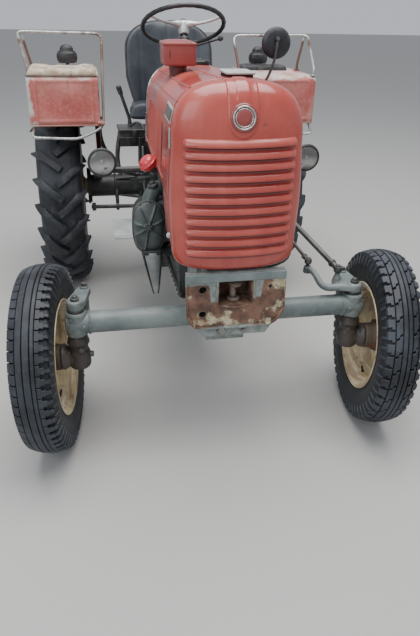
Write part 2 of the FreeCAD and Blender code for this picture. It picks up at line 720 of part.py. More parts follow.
# Lamps on short stalks on the fenders
fender_lamps = []
for side, word in SIDES:
    fender_lamps.append(fuse([
        rod("z", (side * 527, fender_front + 436, fender_top), 50, 9),
        rod("y", (side * 527, fender_front + 428, fender_top + 60), 60, 54),
    ]))
finish("fender_lamps", group(fender_lamps))

# Mirror on a bent stalk from the dash panel
stalk_radius = 7
stalk_y = S.bonnet_rear + 10 + stalk_radius + S.seat_gap
finish("mirror", fuse([
    tube([(130, stalk_y, 1150), (240, stalk_y, 1150), (345, 740, 1250), (371, 712, 1398)], stalk_radius, 40),
    rod("y", (371, 700, 1400), 20, 63),
]))

# Driver's seat with its high back, and the post that carries it
seat_side = [
    (1225, S.seat_height), (1225, S.seat_height + 70), (1440, S.seat_height + 80), (1470, S.seat_height + 240),
    (1500, S.seat_height + 455), (1545, S.seat_height + 455), (1545, S.seat_height + 60), (1500, S.seat_height),
]
finish("driver_seat", prism("YZ_Plane", seat_side, -225, 225))
finish("seat_bracket", fuse([
    box((-90, 90), (1260, 1450), (S.seat_height - 20, S.seat_height - S.seat_gap)),
    box((-40, 40), (1300, 1400), (S.gearbox_top, S.seat_height - 18)),
]))

# Battery box on its leg
battery_bottom = 935
battery_top = 1010
finish("battery_box", fuse([
    box((-300, -165), (930, 1070), (battery_bottom, battery_top)),
    box((-185, -100), (970, 1030), (S.gearbox_top, battery_bottom + 5)),
]))

# Hand levers: one on the battery box, two on the gearbox
lever_foot = battery_top + S.seat_gap
finish("hand_levers", group([
    tube([(-246, 1000, lever_foot), (-246, 1000, 1050), (-290, 1010, 1188)], 7, 20),
    tube([(20, 1060, S.gearbox_top), (20, 1060, 880), (60, 1040, 1080)], 8, 30),
    tube([(-40, 1160, S.gearbox_top), (-40, 1160, 860), (-80, 1130, 1000)], 8, 30),
]))

# Footboards on both sides of the gearbox
boards = [box(span(side, S.gearbox_half_width, 350), (850, 1150), (500, 508)) for side, word in SIDES]
finish("footboards", group(boards))

doc.recompute()
wrong = []
for item in doc.Objects:
    if "Invalid" in item.State or "Error" in item.State:
        wrong.append(item.Label)
for item in parts:
    if item.Shape.isNull() or not item.Shape.isValid() or not item.Shape.Solids:
        wrong.append(item.Label)
if wrong:
    raise RuntimeError("not built: " + ", ".join(wrong))
os.makedirs("parts", exist_ok=True)
for item in parts:
    item.Shape.exportStep("parts/%s.step" % item.Label)
    limits = item.Shape.BoundBox
    print("%-22s %d  x %7.1f %7.1f  y %7.1f %7.1f  z %7.1f %7.1f  v %.4f" % (
        item.Label, len(item.Shape.Solids), limits.XMin, limits.XMax, limits.YMin, limits.YMax,
        limits.ZMin, limits.ZMax, item.Shape.Volume / 1e9))
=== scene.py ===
import json
import math

import bmesh
import bpy
import numpy as np
from mathutils import Matrix, Vector


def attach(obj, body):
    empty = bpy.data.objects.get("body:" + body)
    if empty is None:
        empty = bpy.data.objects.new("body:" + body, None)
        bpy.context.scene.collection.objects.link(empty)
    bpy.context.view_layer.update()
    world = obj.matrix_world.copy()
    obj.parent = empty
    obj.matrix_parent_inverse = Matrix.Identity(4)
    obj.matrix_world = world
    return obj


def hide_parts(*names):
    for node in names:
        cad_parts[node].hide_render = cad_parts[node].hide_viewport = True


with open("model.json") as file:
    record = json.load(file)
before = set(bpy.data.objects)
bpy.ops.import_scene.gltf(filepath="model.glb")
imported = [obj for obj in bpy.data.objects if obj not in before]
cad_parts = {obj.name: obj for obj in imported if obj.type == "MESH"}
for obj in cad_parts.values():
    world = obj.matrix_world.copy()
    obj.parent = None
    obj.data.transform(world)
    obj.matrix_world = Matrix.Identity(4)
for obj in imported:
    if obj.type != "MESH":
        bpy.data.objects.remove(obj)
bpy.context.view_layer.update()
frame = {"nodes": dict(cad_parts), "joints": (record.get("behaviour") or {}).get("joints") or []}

# Looks of a light farm tractor. Shapes are given in millimetres, most of them in a place
# whose origin is on the ground under the middle of the front axle, with the front of the
# tractor towards -Y and its left towards +X. A Place turns them into metres of the frame.

MILLIMETRE = 0.001
SIDES = ((1, "left"), (-1, "right"))
JOINTS = {joint["name"]: joint for joint in frame["joints"]}


def unit(vector):
    vector = np.asarray(vector, float)
    return vector / np.linalg.norm(vector, axis=-1, keepdims=True)


class Place:
    """Where a piece's own millimetres lie in the frame: an origin in metres and three axes."""

    def __init__(self, origin, axes=np.eye(3)):
        self.origin = np.asarray(origin, float)
        self.axes = np.asarray(axes, float)

    def metres(self, points):
        return self.origin + (np.asarray(points, float) * MILLIMETRE) @ self.axes


def wheel_place(joint, side):
    """Wheel centre, with X out along the axle and Z as upright as the wheel's lean allows."""
    out = side * unit(joint["axis"])
    up = unit(np.array((0, 0, 1)) - out[2] * out)
    return Place(joint["pos_m"], [out, np.cross(up, out), up])


def kingpin_place(steer, spin):
    """Foot of a kingpin, turned as far as the wheel at rest."""
    across = unit((spin["axis"][0], spin["axis"][1], 0))
    x, y, _ = steer["pos_m"]
    return Place((x, y, 0), [across, (-across[1], across[0], 0), (0, 0, 1)])


AXLE_Y = JOINTS["steer_left"]["pos_m"][1]
CHASSIS = Place((0, AXLE_Y, 0))
FRONT_WHEEL = {side: wheel_place(JOINTS["front_wheel_%s_spin" % word], side) for side, word in SIDES}
REAR_WHEEL = {side: wheel_place(JOINTS["rear_wheel_%s_spin" % word], side) for side, word in SIDES}
KNUCKLE = {side: kingpin_place(JOINTS["steer_" + word], JOINTS["front_wheel_%s_spin" % word]) for side, word in SIDES}


def on_chassis(place, point):
    """A point of another place in the chassis place's millimetres."""
    return (place.metres(point) - CHASSIS.origin) / MILLIMETRE


# Meshes

class Patch:
    """Points and the faces that join them, in one place's millimetres."""

    def __init__(self, points, faces):
        self.points = np.asarray(points, float).reshape(-1, 3)
        self.faces = faces

    def moved(self, x=0.0, y=0.0, z=0.0):
        return Patch(self.points + (x, y, z), self.faces)

    def turned(self, axis, degrees, about=(0, 0, 0)):
        turn = np.array(Matrix.Rotation(math.radians(degrees), 3, axis))
        return Patch((self.points - about) @ turn.T + about, self.faces)

    def mirrored(self):
        return Patch(self.points * (-1, 1, 1), self.faces)


def grid(points, round_rows=False, round_columns=False, capped=False):
    """Quads over a grid of points, closed on itself along a parameter that is round."""
    points = np.asarray(points, float)
    rows, columns = points.shape[:2]
    i, j = np.meshgrid(np.arange(rows - (not round_rows)), np.arange(columns - (not round_columns)), indexing="ij")
    corners = ((i, j), (i, j + 1), (i + 1, j + 1), (i + 1, j))
    faces = np.stack([(a % rows) * columns + b % columns for a, b in corners], -1).reshape(-1, 4).tolist()
    if capped:
        faces.append(list(range(columns)))
        faces.append(list(range(rows * columns - 1, (rows - 1) * columns - 1, -1)))
    return Patch(points, faces)


def rounded(corners, radius, steps=5, closed=False):
    """Line with softened corners: each is a quadratic curve that leaves and meets the line
    one radius from the corner, or 0.48 of the shorter leg where that is less."""
    corners = np.asarray(corners, float)
    before = np.roll(corners, 1, 0) - corners
    after = np.roll(corners, -1, 0) - corners
    legs = np.minimum(np.linalg.norm(before, axis=1), np.linalg.norm(after, axis=1))
    reach = np.minimum(radius, 0.48 * legs)[:, None]
    t = np.linspace(0, 1, steps + 1)[None, :, None]
    start = (corners + unit(before) * reach)[:, None]
    end = (corners + unit(after) * reach)[:, None]
    curves = (1 - t) ** 2 * start + 2 * t * (1 - t) * corners[:, None] + t ** 2 * end
    if closed:
        return curves.reshape(-1, corners.shape[1])
    return np.vstack([corners[:1], curves[1:-1].reshape(-1, corners.shape[1]), corners[-1:]])


def round_section(outline, radius=6.0, closed=False):
    return rounded(outline, radius, 3, closed)


def arc(along, across, radius, start, end, steps=8):
    """Points round a centre, from one angle to another in degrees."""
    angle = np.radians(np.linspace(start, end, steps + 1))
    return np.stack([along + radius * np.cos(angle), across + radius * np.sin(angle)], -1)


def lathe(outline, sides=48, start=(0, 0, 0), direction=(1, 0, 0), ring=False):
    """Outline of (along, radius) turned about a direction:
    point = start + along x direction + radius x (cosine and sine across it)."""
    along, radius = np.asarray(outline, float).T
    direction = unit(direction)
    across = unit(np.cross(direction, (0, 0, 1) if abs(direction[2]) < 0.9 else (1, 0, 0)))
    other = np.cross(direction, across)
    turn = np.linspace(0, 2 * np.pi, sides, endpoint=False)
    circle = np.cos(turn)[:, None] * across + np.sin(turn)[:, None] * other
    points = np.asarray(start) + along[:, None, None] * direction + radius[:, None, None] * circle
    return grid(points, round_rows=ring, round_columns=True)


def solid_rod(length, radius, edge=1.5):
    """Outline of a closed round bar with eased ends, for lathe."""
    return [(0, 0), (0, radius - edge), (edge, radius), (length - edge, radius), (length, radius - edge), (length, 0)]


def sweep(path, section, closed=False, scale=1.0):
    """Section of (side, up) corners carried along a path. Up is the direction that the path leans
    along least, turned square to the path, so nothing twists."""
    path = np.asarray(path, float)
    tangent = unit(np.gradient(path, axis=0))
    if closed:
        tangent = unit(np.roll(path, -1, 0) - np.roll(path, 1, 0))
    flat = np.linalg.svd(tangent.T @ tangent)[2][2]
    side = unit(np.cross(tangent, flat))
    up = np.cross(side, tangent)
    section = np.asarray(section, float)
    scale = np.broadcast_to(scale, len(path))[:, None, None]
    points = path[:, None] + scale * (section[:, 0, None] * side[:, None] + section[:, 1, None] * up[:, None])
    return grid(points, round_rows=closed, round_columns=True, capped=not closed)


def bar(corners, radius, bend=30.0, sides=12, closed=False, steps=6):
    """Round bar along softened corners. The radius may be a list, spread evenly along it."""
    path = rounded(corners, bend, steps, closed)
    turn = np.linspace(0, 2 * np.pi, sides, endpoint=False)
    size = np.interp(np.linspace(0, 1, len(path)), np.linspace(0, 1, len(np.atleast_1d(radius))), np.atleast_1d(radius))
    return sweep(path, np.stack([np.cos(turn), np.sin(turn)], -1), closed, size)


def block(x, y, z, edge=4.0, steps=3):
    """Box between low and high faces with round edges: each level is a rounded rectangle whose
    corner radius and height follow a quarter circle."""
    (x0, x1), (y0, y1), (z0, z1) = (sorted(span) for span in (x, y, z))
    quarter = np.linspace(0, np.pi / 2, steps + 1)
    radius = np.concatenate([edge * np.sin(quarter), edge * np.sin(quarter)[::-1]])
    height = np.concatenate([z0 + edge * (1 - np.cos(quarter)), z1 - edge * (1 - np.cos(quarter))[::-1]])
    turn = (np.arange(4)[:, None] * np.pi / 2 + quarter).ravel()
    right = np.repeat((1, -1, -1, 1), steps + 1)
    far = np.repeat((1, 1, -1, -1), steps + 1)
    centre_x = (x0 + x1) / 2 + right * ((x1 - x0) / 2 - edge)
    centre_y = (y0 + y1) / 2 + far * ((y1 - y0) / 2 - edge)
    points = np.stack([centre_x + radius[:, None] * np.cos(turn), centre_y + radius[:, None] * np.sin(turn),
                       np.broadcast_to(height[:, None], (len(height), len(turn)))], -1)
    return grid(points, round_columns=True, capped=True)


AXES = {"XY": (0, 1, 2), "XZ": (0, 2, 1), "YZ": (1, 2, 0)}


def slab(outline, low, high, plane="XZ"):
    """Outline in a plane carried straight from one level to another, closed at both."""
    first, second, third = AXES[plane]
    outline = np.asarray(outline, float)
    points = np.zeros((2, len(outline), 3))
    points[:, :, first] = outline[:, 0]
    points[:, :, second] = outline[:, 1]
    points[:, :, third] = np.array((low, high))[:, None]
    return grid(points, round_columns=True, capped=True)


def bolt(start, direction, size=9.0, height=6.0):
    """Hexagon head on a washer."""
    washer = lathe([(0, 0), (0, size * 1.25), (1.6, size * 1.25), (1.6, 0)], 16, start, direction)
    head = lathe([(1, 0), (1, size), (height, size), (height + 1, size - 1.2), (height + 1, 0)], 6, start, direction)
    return [washer, head]


def ring_of(count, radius, make, first=0.0):
    """Patches that make(y, z) gives at even angles round the X axis."""
    angles = np.radians(first + np.arange(count) * 360 / count)
    return sum((make(radius * math.cos(a), radius * math.sin(a)) for a in angles), [])


def raised(points, height):
    """Grid of points moved along its own normals, which come from the steps to its neighbours."""
    normal = unit(np.cross(np.gradient(points, axis=0), np.gradient(points, axis=1)))
    return points + normal * np.asarray(height)[..., None]


def piece(name, patches, paint, body="chassis", place=CHASSIS, replaces=(), wall=0.0, bevel=0.0, smooth=0, sharp=34.0):
    """One object from patches: doubles merged, faces turned outwards, smooth but for edges over a sharp angle."""
    patches = patches if isinstance(patches, list) else [patches]
    offsets = np.cumsum([0] + [len(patch.points) for patch in patches])
    faces = [[corner + offset for corner in face] for patch, offset in zip(patches, offsets) for face in patch.faces]
    mesh = bpy.data.meshes.new(name)
    mesh.from_pydata(place.metres(np.vstack([patch.points for patch in patches])), [], faces)
    work = bmesh.new()
    work.from_mesh(mesh)
    bmesh.ops.remove_doubles(work, verts=work.verts, dist=0.02 * MILLIMETRE)
    bmesh.ops.dissolve_degenerate(work, edges=work.edges, dist=0.01 * MILLIMETRE)
    bmesh.ops.recalc_face_normals(work, faces=work.faces)
    work.to_mesh(mesh)
    work.free()
    mesh.shade_smooth()
    mesh.set_sharp_from_angle(angle=math.radians(sharp))
    made = bpy.data.objects.new(name, mesh)
    bpy.context.scene.collection.objects.link(made)
    mesh.materials.append(paint.material)
    if wall:
        shell = made.modifiers.new("Wall", "SOLIDIFY")
        shell.thickness = wall * MILLIMETRE
        shell.offset = -1
    if bevel:
        edge = made.modifiers.new("Edge", "BEVEL")
        edge.width = bevel * MILLIMETRE
        edge.segments = 2
        edge.limit_method = "ANGLE"
        edge.angle_limit = math.radians(40)
        edge.harden_normals = False
    if smooth:
        surface = made.modifiers.new("Surface", "SUBSURF")
        surface.levels = smooth
        surface.render_levels = smooth
    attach(made, body)
    if replaces:
        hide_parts(*replaces)
    return made


# Shader maths

class Signal:
    """One output of a shader node. Plain arithmetic on it adds Math nodes."""

    def __init__(self, paint, socket):
        self.paint = paint
        self.socket = socket

    def math(self, operation, first, second=0.0):
        return self.paint.node("Math", {"operation": operation}, {0: first, 1: second})

    def __add__(self, other):
        return self.math("ADD", self, other)

    def __radd__(self, other):
        return self.math("ADD", other, self)

    def __sub__(self, other):
        return self.math("SUBTRACT", self, other)

    def __rsub__(self, other):
        return self.math("SUBTRACT", other, self)

    def __mul__(self, other):
        return self.math("MULTIPLY", self, other)

    def __rmul__(self, other):
        return self.math("MULTIPLY", other, self)

    def __abs__(self):
        return self.math("ABSOLUTE", self)

    def most(self, other):
        return self.math("MAXIMUM", self, other)

    def between(self, low, high):
        """0 below low, 1 above high, and a smooth rise from one to the other."""
        return self.paint.node("MapRange", {"interpolation_type": "SMOOTHSTEP"},
                               {"Value": self, "From Min": low, "From Max": high})

    def below(self, high, low):
        """1 below low and 0 above high."""
        return 1 - self.between(low, high)


class Paint:
    """One finish: a material and the record's slot that it belongs to."""

    def __init__(self, name, slot, **constants):
        self.material = bpy.data.materials.new(name)
        self.material.use_nodes = True
        self.slot = slot
        self.tree = self.material.node_tree
        self.shader = self.tree.nodes["Principled BSDF"]
        self.object_place = self.node("TexCoord", {}, {}, "Object")
        self.x, self.y, self.z = (self.node("SeparateXYZ", {}, {0: self.object_place}, axis) for axis in "XYZ")
        for key, value in constants.items():
            self.shader.inputs[key.replace("_", " ").title().replace("Ior", "IOR")].default_value = value

    def node(self, kind, settings, sockets, output=0):
        """Any node: its settings are set first, then each socket gets a value or a link."""
        made = self.tree.nodes.new("ShaderNode" + kind)
        for key, value in settings.items():
            setattr(made, key, value)
        for key, value in sockets.items():
            if isinstance(value, Signal):
                self.tree.links.new(value.socket, made.inputs[key])
            else:
                made.inputs[key].default_value = value
        return Signal(self, made.outputs[output])

    def stretched(self, stretch, shift=(0, 0, 0), turn=(0, 0, 0)):
        return self.node("Mapping", {}, {"Vector": self.object_place, "Scale": stretch, "Location": shift,
                                         "Rotation": turn})

    def noise(self, scale, detail=3.0, stretch=None, shift=(0, 0, 0), turn=(0, 0, 0), rough=0.55):
        where = self.stretched(stretch or (1, 1, 1), shift, turn)
        return self.node("TexNoise", {}, {"Vector": where, "Scale": scale, "Detail": detail, "Roughness": rough})

    def cells(self, scale, stretch=None, feature="F1"):
        where = self.stretched(stretch or (1, 1, 1))
        return self.node("TexVoronoi", {"feature": feature}, {"Vector": where, "Scale": scale})

    def mix(self, factor, first, second):
        first, second = ((*c, 1) if isinstance(c, tuple) else c for c in (first, second))
        return self.node("Mix", {"data_type": "RGBA"}, {0: factor, 6: first, 7: second}, 2)

    def finish(self, colour, roughness, bump=None, strength=0.3, distance=0.001, metallic=None, coat=None):
        """Feeds the shader. Bump is a height from 0 to 1 over a distance in metres."""
        for key, value in (("Base Color", colour), ("Roughness", roughness), ("Metallic", metallic),
                           ("Coat Weight", coat)):
            if isinstance(value, Signal):
                self.tree.links.new(value.socket, self.shader.inputs[key])
            elif isinstance(value, tuple):
                self.shader.inputs[key].default_value = (*value, 1)
            elif value is not None:
                self.shader.inputs[key].default_value = value
        if bump is not None:
            normal = self.node("Bump", {}, {"Height": bump, "Strength": strength, "Distance": distance})
            self.tree.links.new(normal.socket, self.shader.inputs["Normal"])
        return self


GREY_DUST = (0.30, 0.28, 0.25)
DARK_GRIME = (0.035, 0.028, 0.024)
RUST = (0.20, 0.072, 0.025)
DARK_RUST = (0.075, 0.032, 0.018)


def red_paint(name, deep, faded):
    """Old enamel: faded salmon clouds over deeper red, run streaks, chips and grime."""
    paint = Paint(name, "red_paint", coat_roughness=0.12)
    clouds = paint.noise(2.6, 5, None, (2, 5, 1)).between(0.36, 0.66)
    streaks = paint.noise(26, 3, (1, 1, 0.10), (1, 2, 3)).between(0.45, 0.75)
    colour = paint.mix(clouds * 0.75 + streaks * 0.25, deep, faded)
    grime = paint.noise(7, 6, (1, 1, 0.6), (4, 4, 4), rough=0.7).between(0.56, 0.80)
    colour = paint.mix(grime * 0.42, colour, (0.13, 0.045, 0.035))
    chips = paint.noise(120, 2, None, (9, 1, 4)).between(0.735, 0.755)
    spots = paint.noise(38, 3, None, (5, 8, 2)).between(0.735, 0.76)
    marks = chips.most(spots)
    colour = paint.mix(marks * 0.85, colour, DARK_RUST)
    roughness = 0.25 + 0.20 * clouds + 0.25 * marks
    height = paint.noise(9, 3) * 0.6 + paint.noise(160, 2) * 0.12 - marks * 0.35
    return paint.finish(colour, roughness, height, 0.25, 0.0012, coat=0.6 - 0.3 * clouds)


def fender_paint():
    """Chalky pink-red sheet, with the paint gone to grey-white along its edges, and a painted pale highlight in patches
    over its top.
    """
    paint = Paint("fender_paint", "fender_paint")
    clouds = paint.noise(4, 5, None, (1, 7, 3)).between(0.35, 0.68)
    colour = paint.mix(clouds, (0.40, 0.085, 0.070), (0.56, 0.21, 0.18))
    fine = paint.noise(60, 4, None, (3, 3, 8)).between(0.4, 0.75)
    colour = paint.mix(fine * 0.25, colour, (0.62, 0.36, 0.33))
    outer = abs(paint.x) + (paint.noise(11, 4, None, (0, 2, 6)) - 0.5) * 0.10
    ragged = paint.noise(7, 4, None, (3, 8, 1)) * 0.25
    fore = (paint.y + ragged).below(AXLE_Y + 1.62, AXLE_Y + 1.40)
    share = 0.15 + 0.85 * paint.x.below(0.1, 0.0)
    worn = outer.between(0.690, 0.702) * paint.noise(5, 3, None, (6, 2, 2)).between(0.36, 0.44) * fore * share
    # Painted highlight: the top surface turns pale grey-white in patches, standing in for the sky's reflection; from
    # here worn carries it as well as the edge wear.
    upper = (paint.z + (paint.noise(16, 4, (1, 1, 1), (4, 1, 2)) - 0.5) * 0.075).between(1.209, 1.219)
    upper = upper * paint.noise(14, 3, (1, 0.4, 1), (2, 6, 2)).between(0.30, 0.52)
    worn = worn.most(upper * 0.85)
    colour = paint.mix(worn, colour, paint.mix(paint.noise(40, 4), (0.38, 0.36, 0.33), (0.66, 0.64, 0.60)))
    scrape = paint.noise(24, 5, (1, 1, 0.5), (5, 5, 2), (0.2, 0.6, 0.1), rough=0.7).between(0.66, 0.72)
    colour = paint.mix(scrape * 0.8, colour, (0.10, 0.060, 0.045))
    smears = paint.noise(13, 5, (1, 1, 0.35), (8, 3, 1), (0.3, 0.5, 0.2), rough=0.65).between(0.60, 0.74)
    colour = paint.mix(smears * 0.65, colour, (0.13, 0.075, 0.060))
    rust = paint.noise(55, 3, None, (2, 9, 4)).between(0.70, 0.74)
    colour = paint.mix(rust * 0.8, colour, DARK_RUST)
    low = (paint.z + (paint.noise(30, 3) - 0.5) * 0.02).below(1.022, 1.008)
    colour = paint.mix(low * 0.6, colour, (0.20, 0.12, 0.09))
    height = paint.noise(14, 3) * 0.7 + fine * 0.1 - worn * 0.2
    return paint.finish(colour, 0.50 + 0.28 * fine, height, 0.3, 0.0015)


def grey_paint():
    """Blue-grey paint on rough forgings: pitted, smeared with grease, rust in the chips."""
    paint = Paint("grey_paint", "grey_paint")
    clouds = paint.noise(6, 5, None, (3, 1, 1)).between(0.3, 0.7)
    colour = paint.mix(clouds, (0.115, 0.145, 0.145), (0.215, 0.250, 0.245))
    smears = paint.noise(12, 6, (0.5, 1, 1), (1, 6, 6), rough=0.7).between(0.55, 0.78)
    colour = paint.mix(smears * 0.75, colour, (0.045, 0.048, 0.046))
    chips = paint.noise(70, 3, None, (5, 5, 1)).between(0.69, 0.72)
    colour = paint.mix(chips * 0.8, colour, RUST)
    dust = paint.noise(35, 5, None, (2, 8, 8)).between(0.5, 0.8)
    colour = paint.mix(dust * 0.25, colour, (0.42, 0.43, 0.41))
    low = (paint.z + (paint.noise(18, 5, None, (4, 2, 7)) - 0.5) * 0.09).below(0.472, 0.440)
    colour = paint.mix(low * 0.92, colour, paint.mix(clouds, (0.020, 0.015, 0.013), (0.060, 0.042, 0.034)))
    height = paint.noise(45, 4) * 0.6 + paint.noise(220, 2) * 0.25 - chips * 0.5
    return paint.finish(colour, 0.42 + 0.3 * dust, height, 0.45, 0.0014)


def rusty_plate():
    """Face plate: grey paint left on the upper edge and in the corners, brown and ochre rust elsewhere."""
    paint = Paint("rusty_plate", "rusty_plate")
    warp = paint.noise(9, 5, None, (2, 2, 5)) - 0.5
    fine = paint.noise(42, 5, None, (6, 1, 3), rough=0.7)
    brown = paint.mix(paint.noise(20, 5, None, (1, 9, 2)).between(0.35, 0.65), (0.080, 0.043, 0.032), (0.200, 0.108, 0.072))
    pale = paint.mix(fine.between(0.35, 0.65), (0.40, 0.34, 0.20), (0.58, 0.53, 0.38))
    ochre = paint.noise(13, 5, None, (7, 3, 9), rough=0.65).between(0.52, 0.60)
    colour = paint.mix(ochre * 0.9, brown, pale)
    orange = paint.noise(34, 4, None, (4, 4, 9)).between(0.56, 0.66)
    colour = paint.mix(orange * 0.25, colour, (0.26, 0.125, 0.060))
    front = paint.y.below(AXLE_Y - 0.205, AXLE_Y - 0.228)
    beside = (abs(paint.x) + warp * 0.02).below(0.094, 0.084)
    recess = abs(paint.x).below(0.062, 0.060) * paint.z.between(0.628, 0.636) * paint.z.below(0.738, 0.730)
    upper = (paint.z + warp * 0.055 + beside * 0.062 - 0.016).between(0.706, 0.714)
    lower = (paint.z + warp * 0.02).below(0.571, 0.564)
    grey = paint.mix(fine.between(0.3, 0.7), (0.14, 0.165, 0.155), (0.27, 0.30, 0.28))
    kept = (upper.most(lower)).most(1 - front) * (1 - fine.between(0.66, 0.72)) * (1 - recess)
    colour = paint.mix(recess * 0.8, colour, brown)
    colour = paint.mix(kept, colour, grey)
    grime = paint.noise(15, 5, None, (9, 9, 2)).between(0.58, 0.78)
    colour = paint.mix(grime * 0.55, colour, DARK_GRIME)
    height = fine * 0.7 + paint.noise(170, 3) * 0.3
    return paint.finish(colour, 0.62 + 0.25 * fine, height, 0.5, 0.0016)


def rim_paint():
    """Cream-ochre paint, browned by rust and dusted with earth."""
    paint = Paint("rim_paint", "rim_paint")
    clouds = paint.noise(11, 5, None, (3, 2, 2)).between(0.3, 0.7)
    colour = paint.mix(clouds, (0.47, 0.37, 0.20), (0.70, 0.61, 0.42))
    rust = paint.noise(26, 5, None, (8, 1, 1), rough=0.68).between(0.55, 0.66)
    colour = paint.mix(rust * 0.7, colour, (0.19, 0.095, 0.055))
    dirt = paint.noise(6, 4, None, (5, 5, 5)).between(0.45, 0.7)
    colour = paint.mix(dirt * 0.55, colour, (0.20, 0.150, 0.095))
    bands = paint.noise(62, 3, (1, 0.06, 0.06), (3, 6, 1))
    colour = paint.mix(bands.below(0.46, 0.36) * 0.6, colour, (0.25, 0.165, 0.105))
    colour = paint.mix(bands.between(0.55, 0.65) * 0.6, colour, (0.78, 0.72, 0.56))
    height = clouds * 0.3 + paint.noise(90, 3) * 0.4 - rust * 0.3
    return paint.finish(colour, 0.52 + 0.25 * rust, height, 0.35, 0.001)


def rubber(name, slot="tyre", dusty=0.35, worn=(0.034, 0.038, 0.045)):
    """Weathered rubber: blue-black, greyer where it scrapes and dusty in the hollows."""
    paint = Paint(name, slot, specular_ior_level=0.4)
    clouds = paint.noise(7, 5, None, (4, 4, 1)).between(0.3, 0.7)
    colour = paint.mix(clouds, (0.012, 0.014, 0.018), worn)
    dust = paint.noise(28, 6, None, (1, 8, 3), rough=0.72).between(0.50, 0.82)
    colour = paint.mix(dust * dusty, colour, (0.16, 0.155, 0.145))
    streaks = paint.noise(50, 3, (0.3, 1, 1), (2, 2, 2)).between(0.6, 0.8)
    colour = paint.mix(streaks * 0.25, colour, (0.085, 0.092, 0.105))
    height = paint.noise(150, 3) * 0.5 + paint.noise(24, 3) * 0.5
    return paint.finish(colour, 0.50 + 0.28 * dust + 0.08 * clouds, height, 0.3, 0.0009)


def oily_metal(name, slot, base, light, dusty=0.3, rust=0.0, shine=0.42, metal=0.0):
    """Dark machine metal with oil stains, settled dust and a cast grain."""
    paint = Paint(name, slot)
    clouds = paint.noise(9, 5, None, (6, 3, 2)).between(0.3, 0.7)
    colour = paint.mix(clouds, base, light)
    dust = paint.noise(22, 6, None, (3, 9, 7), rough=0.7).between(0.48, 0.80)
    colour = paint.mix(dust * dusty, colour, GREY_DUST)
    if rust:
        spots = paint.noise(31, 5, None, (5, 2, 7), rough=0.68).between(0.66 - rust * 0.2, 0.74 - rust * 0.2)
        colour = paint.mix(spots * 0.85, colour, paint.mix(paint.noise(60, 3), DARK_RUST, RUST))
    height = paint.noise(120, 4) * 0.6 + clouds * 0.3
    return paint.finish(colour, shine + 0.35 * dust, height, 0.35, 0.0009, metallic=metal)


def zinc_tube():
    """Dull galvanised tube whose legs have gone to rust."""
    paint = Paint("tube_zinc", "tube_zinc")
    spangle = paint.cells(95).between(0.1, 0.6)
    colour = paint.mix(spangle, (0.30, 0.31, 0.31), (0.48, 0.49, 0.48))
    edge = paint.z + (paint.noise(14, 4, None, (1, 1, 5)) - 0.5) * 0.30
    rear = (paint.y + (paint.noise(9, 3) - 0.5) * 0.1).between(AXLE_Y + 1.24, AXLE_Y + 1.33)
    low = edge.below(1.345, 1.300) * edge.between(0.985, 1.03)
    rust = (low * 0.8 * paint.x.below(0.1, 0.0)).most(rear * edge.below(1.42, 1.36))
    colour = paint.mix(rust, colour, paint.mix(paint.noise(40, 4), (0.06, 0.040, 0.035), (0.17, 0.075, 0.045)))
    specks = paint.noise(90, 3, None, (2, 7, 1)).between(0.64, 0.70)
    colour = paint.mix(specks * 0.6, colour, DARK_RUST)
    return paint.finish(colour, 0.38 + 0.35 * rust, paint.noise(130, 3), 0.3, 0.0008, metallic=0.75 - 0.7 * rust)


def vinyl():
    """Dark blue-grey seat cover with a fine pressed grain, paler and duller on its worn crowns."""
    paint = Paint("seat_vinyl", "seat_vinyl", specular_ior_level=0.45)
    clouds = paint.noise(5, 4, None, (1, 3, 9)).between(0.3, 0.7)
    colour = paint.mix(clouds, (0.018, 0.022, 0.030), (0.048, 0.056, 0.070))
    wear = paint.noise(18, 5, None, (6, 6, 6), rough=0.7).between(0.58, 0.8)
    colour = paint.mix(wear * 0.4, colour, (0.11, 0.125, 0.14))
    grain = paint.cells(420)
    height = grain * 0.6 + paint.noise(16, 4, (1, 1, 0.5)) * 1.4
    return paint.finish(colour, 0.46 + 0.18 * wear, height, 0.35, 0.0011)


def worn_cover():
    """Mottled beige cover: woven, with brown water stains and mould, and painted shade darkening its lower edge."""
    paint = Paint("worn_cover", "cushion_left", sheen_weight=0.15)
    clouds = paint.noise(16, 6, None, (2, 2, 4), rough=0.65).between(0.35, 0.65)
    colour = paint.mix(clouds, (0.30, 0.215, 0.145), (0.60, 0.54, 0.42))
    stains = paint.noise(30, 6, (1, 1, 1), (8, 4, 1), rough=0.72).between(0.56, 0.66)
    colour = paint.mix(stains * 0.75, colour, (0.075, 0.050, 0.040))
    # Painted shade: the cover darkens towards its lower edge.
    lower_edge_shade = (paint.z + (paint.noise(25, 4) - 0.5) * 0.03).below(1.243, 1.231)
    colour = paint.mix(lower_edge_shade * 0.6, colour, (0.16, 0.095, 0.075))
    weave = paint.noise(600, 1, (1, 0.3, 1)) + paint.noise(600, 1, (0.3, 1, 1))
    return paint.finish(colour, 0.85, weave * 0.4 + clouds * 0.8, 0.45, 0.0016)


def chrome(name, slot="bare_steel", worn=0.35):
    """Plating with a haze of dirt and dull spots."""
    paint = Paint(name, slot)
    haze = paint.noise(60, 4, None, (1, 5, 5)).between(0.45, 0.75)
    colour = paint.mix(haze * worn, (0.62, 0.62, 0.60), (0.20, 0.16, 0.13))
    return paint.finish(colour, 0.14 + 0.45 * haze, paint.noise(90, 2), 0.1, 0.0005, metallic=1 - haze * worn)


def lamp_silver():
    """Silvering of a lamp bowl: a painted reflection, pale in a band just below the middle and dark towards its top and
    its foot.
    """
    paint = Paint("lamp_silver", "bare_steel")
    # Painted reflection: the silvering is pale only in a band of height.
    height = paint.z + (paint.noise(18, 3) - 0.5) * 0.02
    reflection_band = height.below(1.022, 0.990) * height.between(0.962, 0.985)
    colour = paint.mix(reflection_band, (0.22, 0.22, 0.21), (0.95, 0.95, 0.93))
    return paint.finish(colour, 0.28, metallic=0.2)


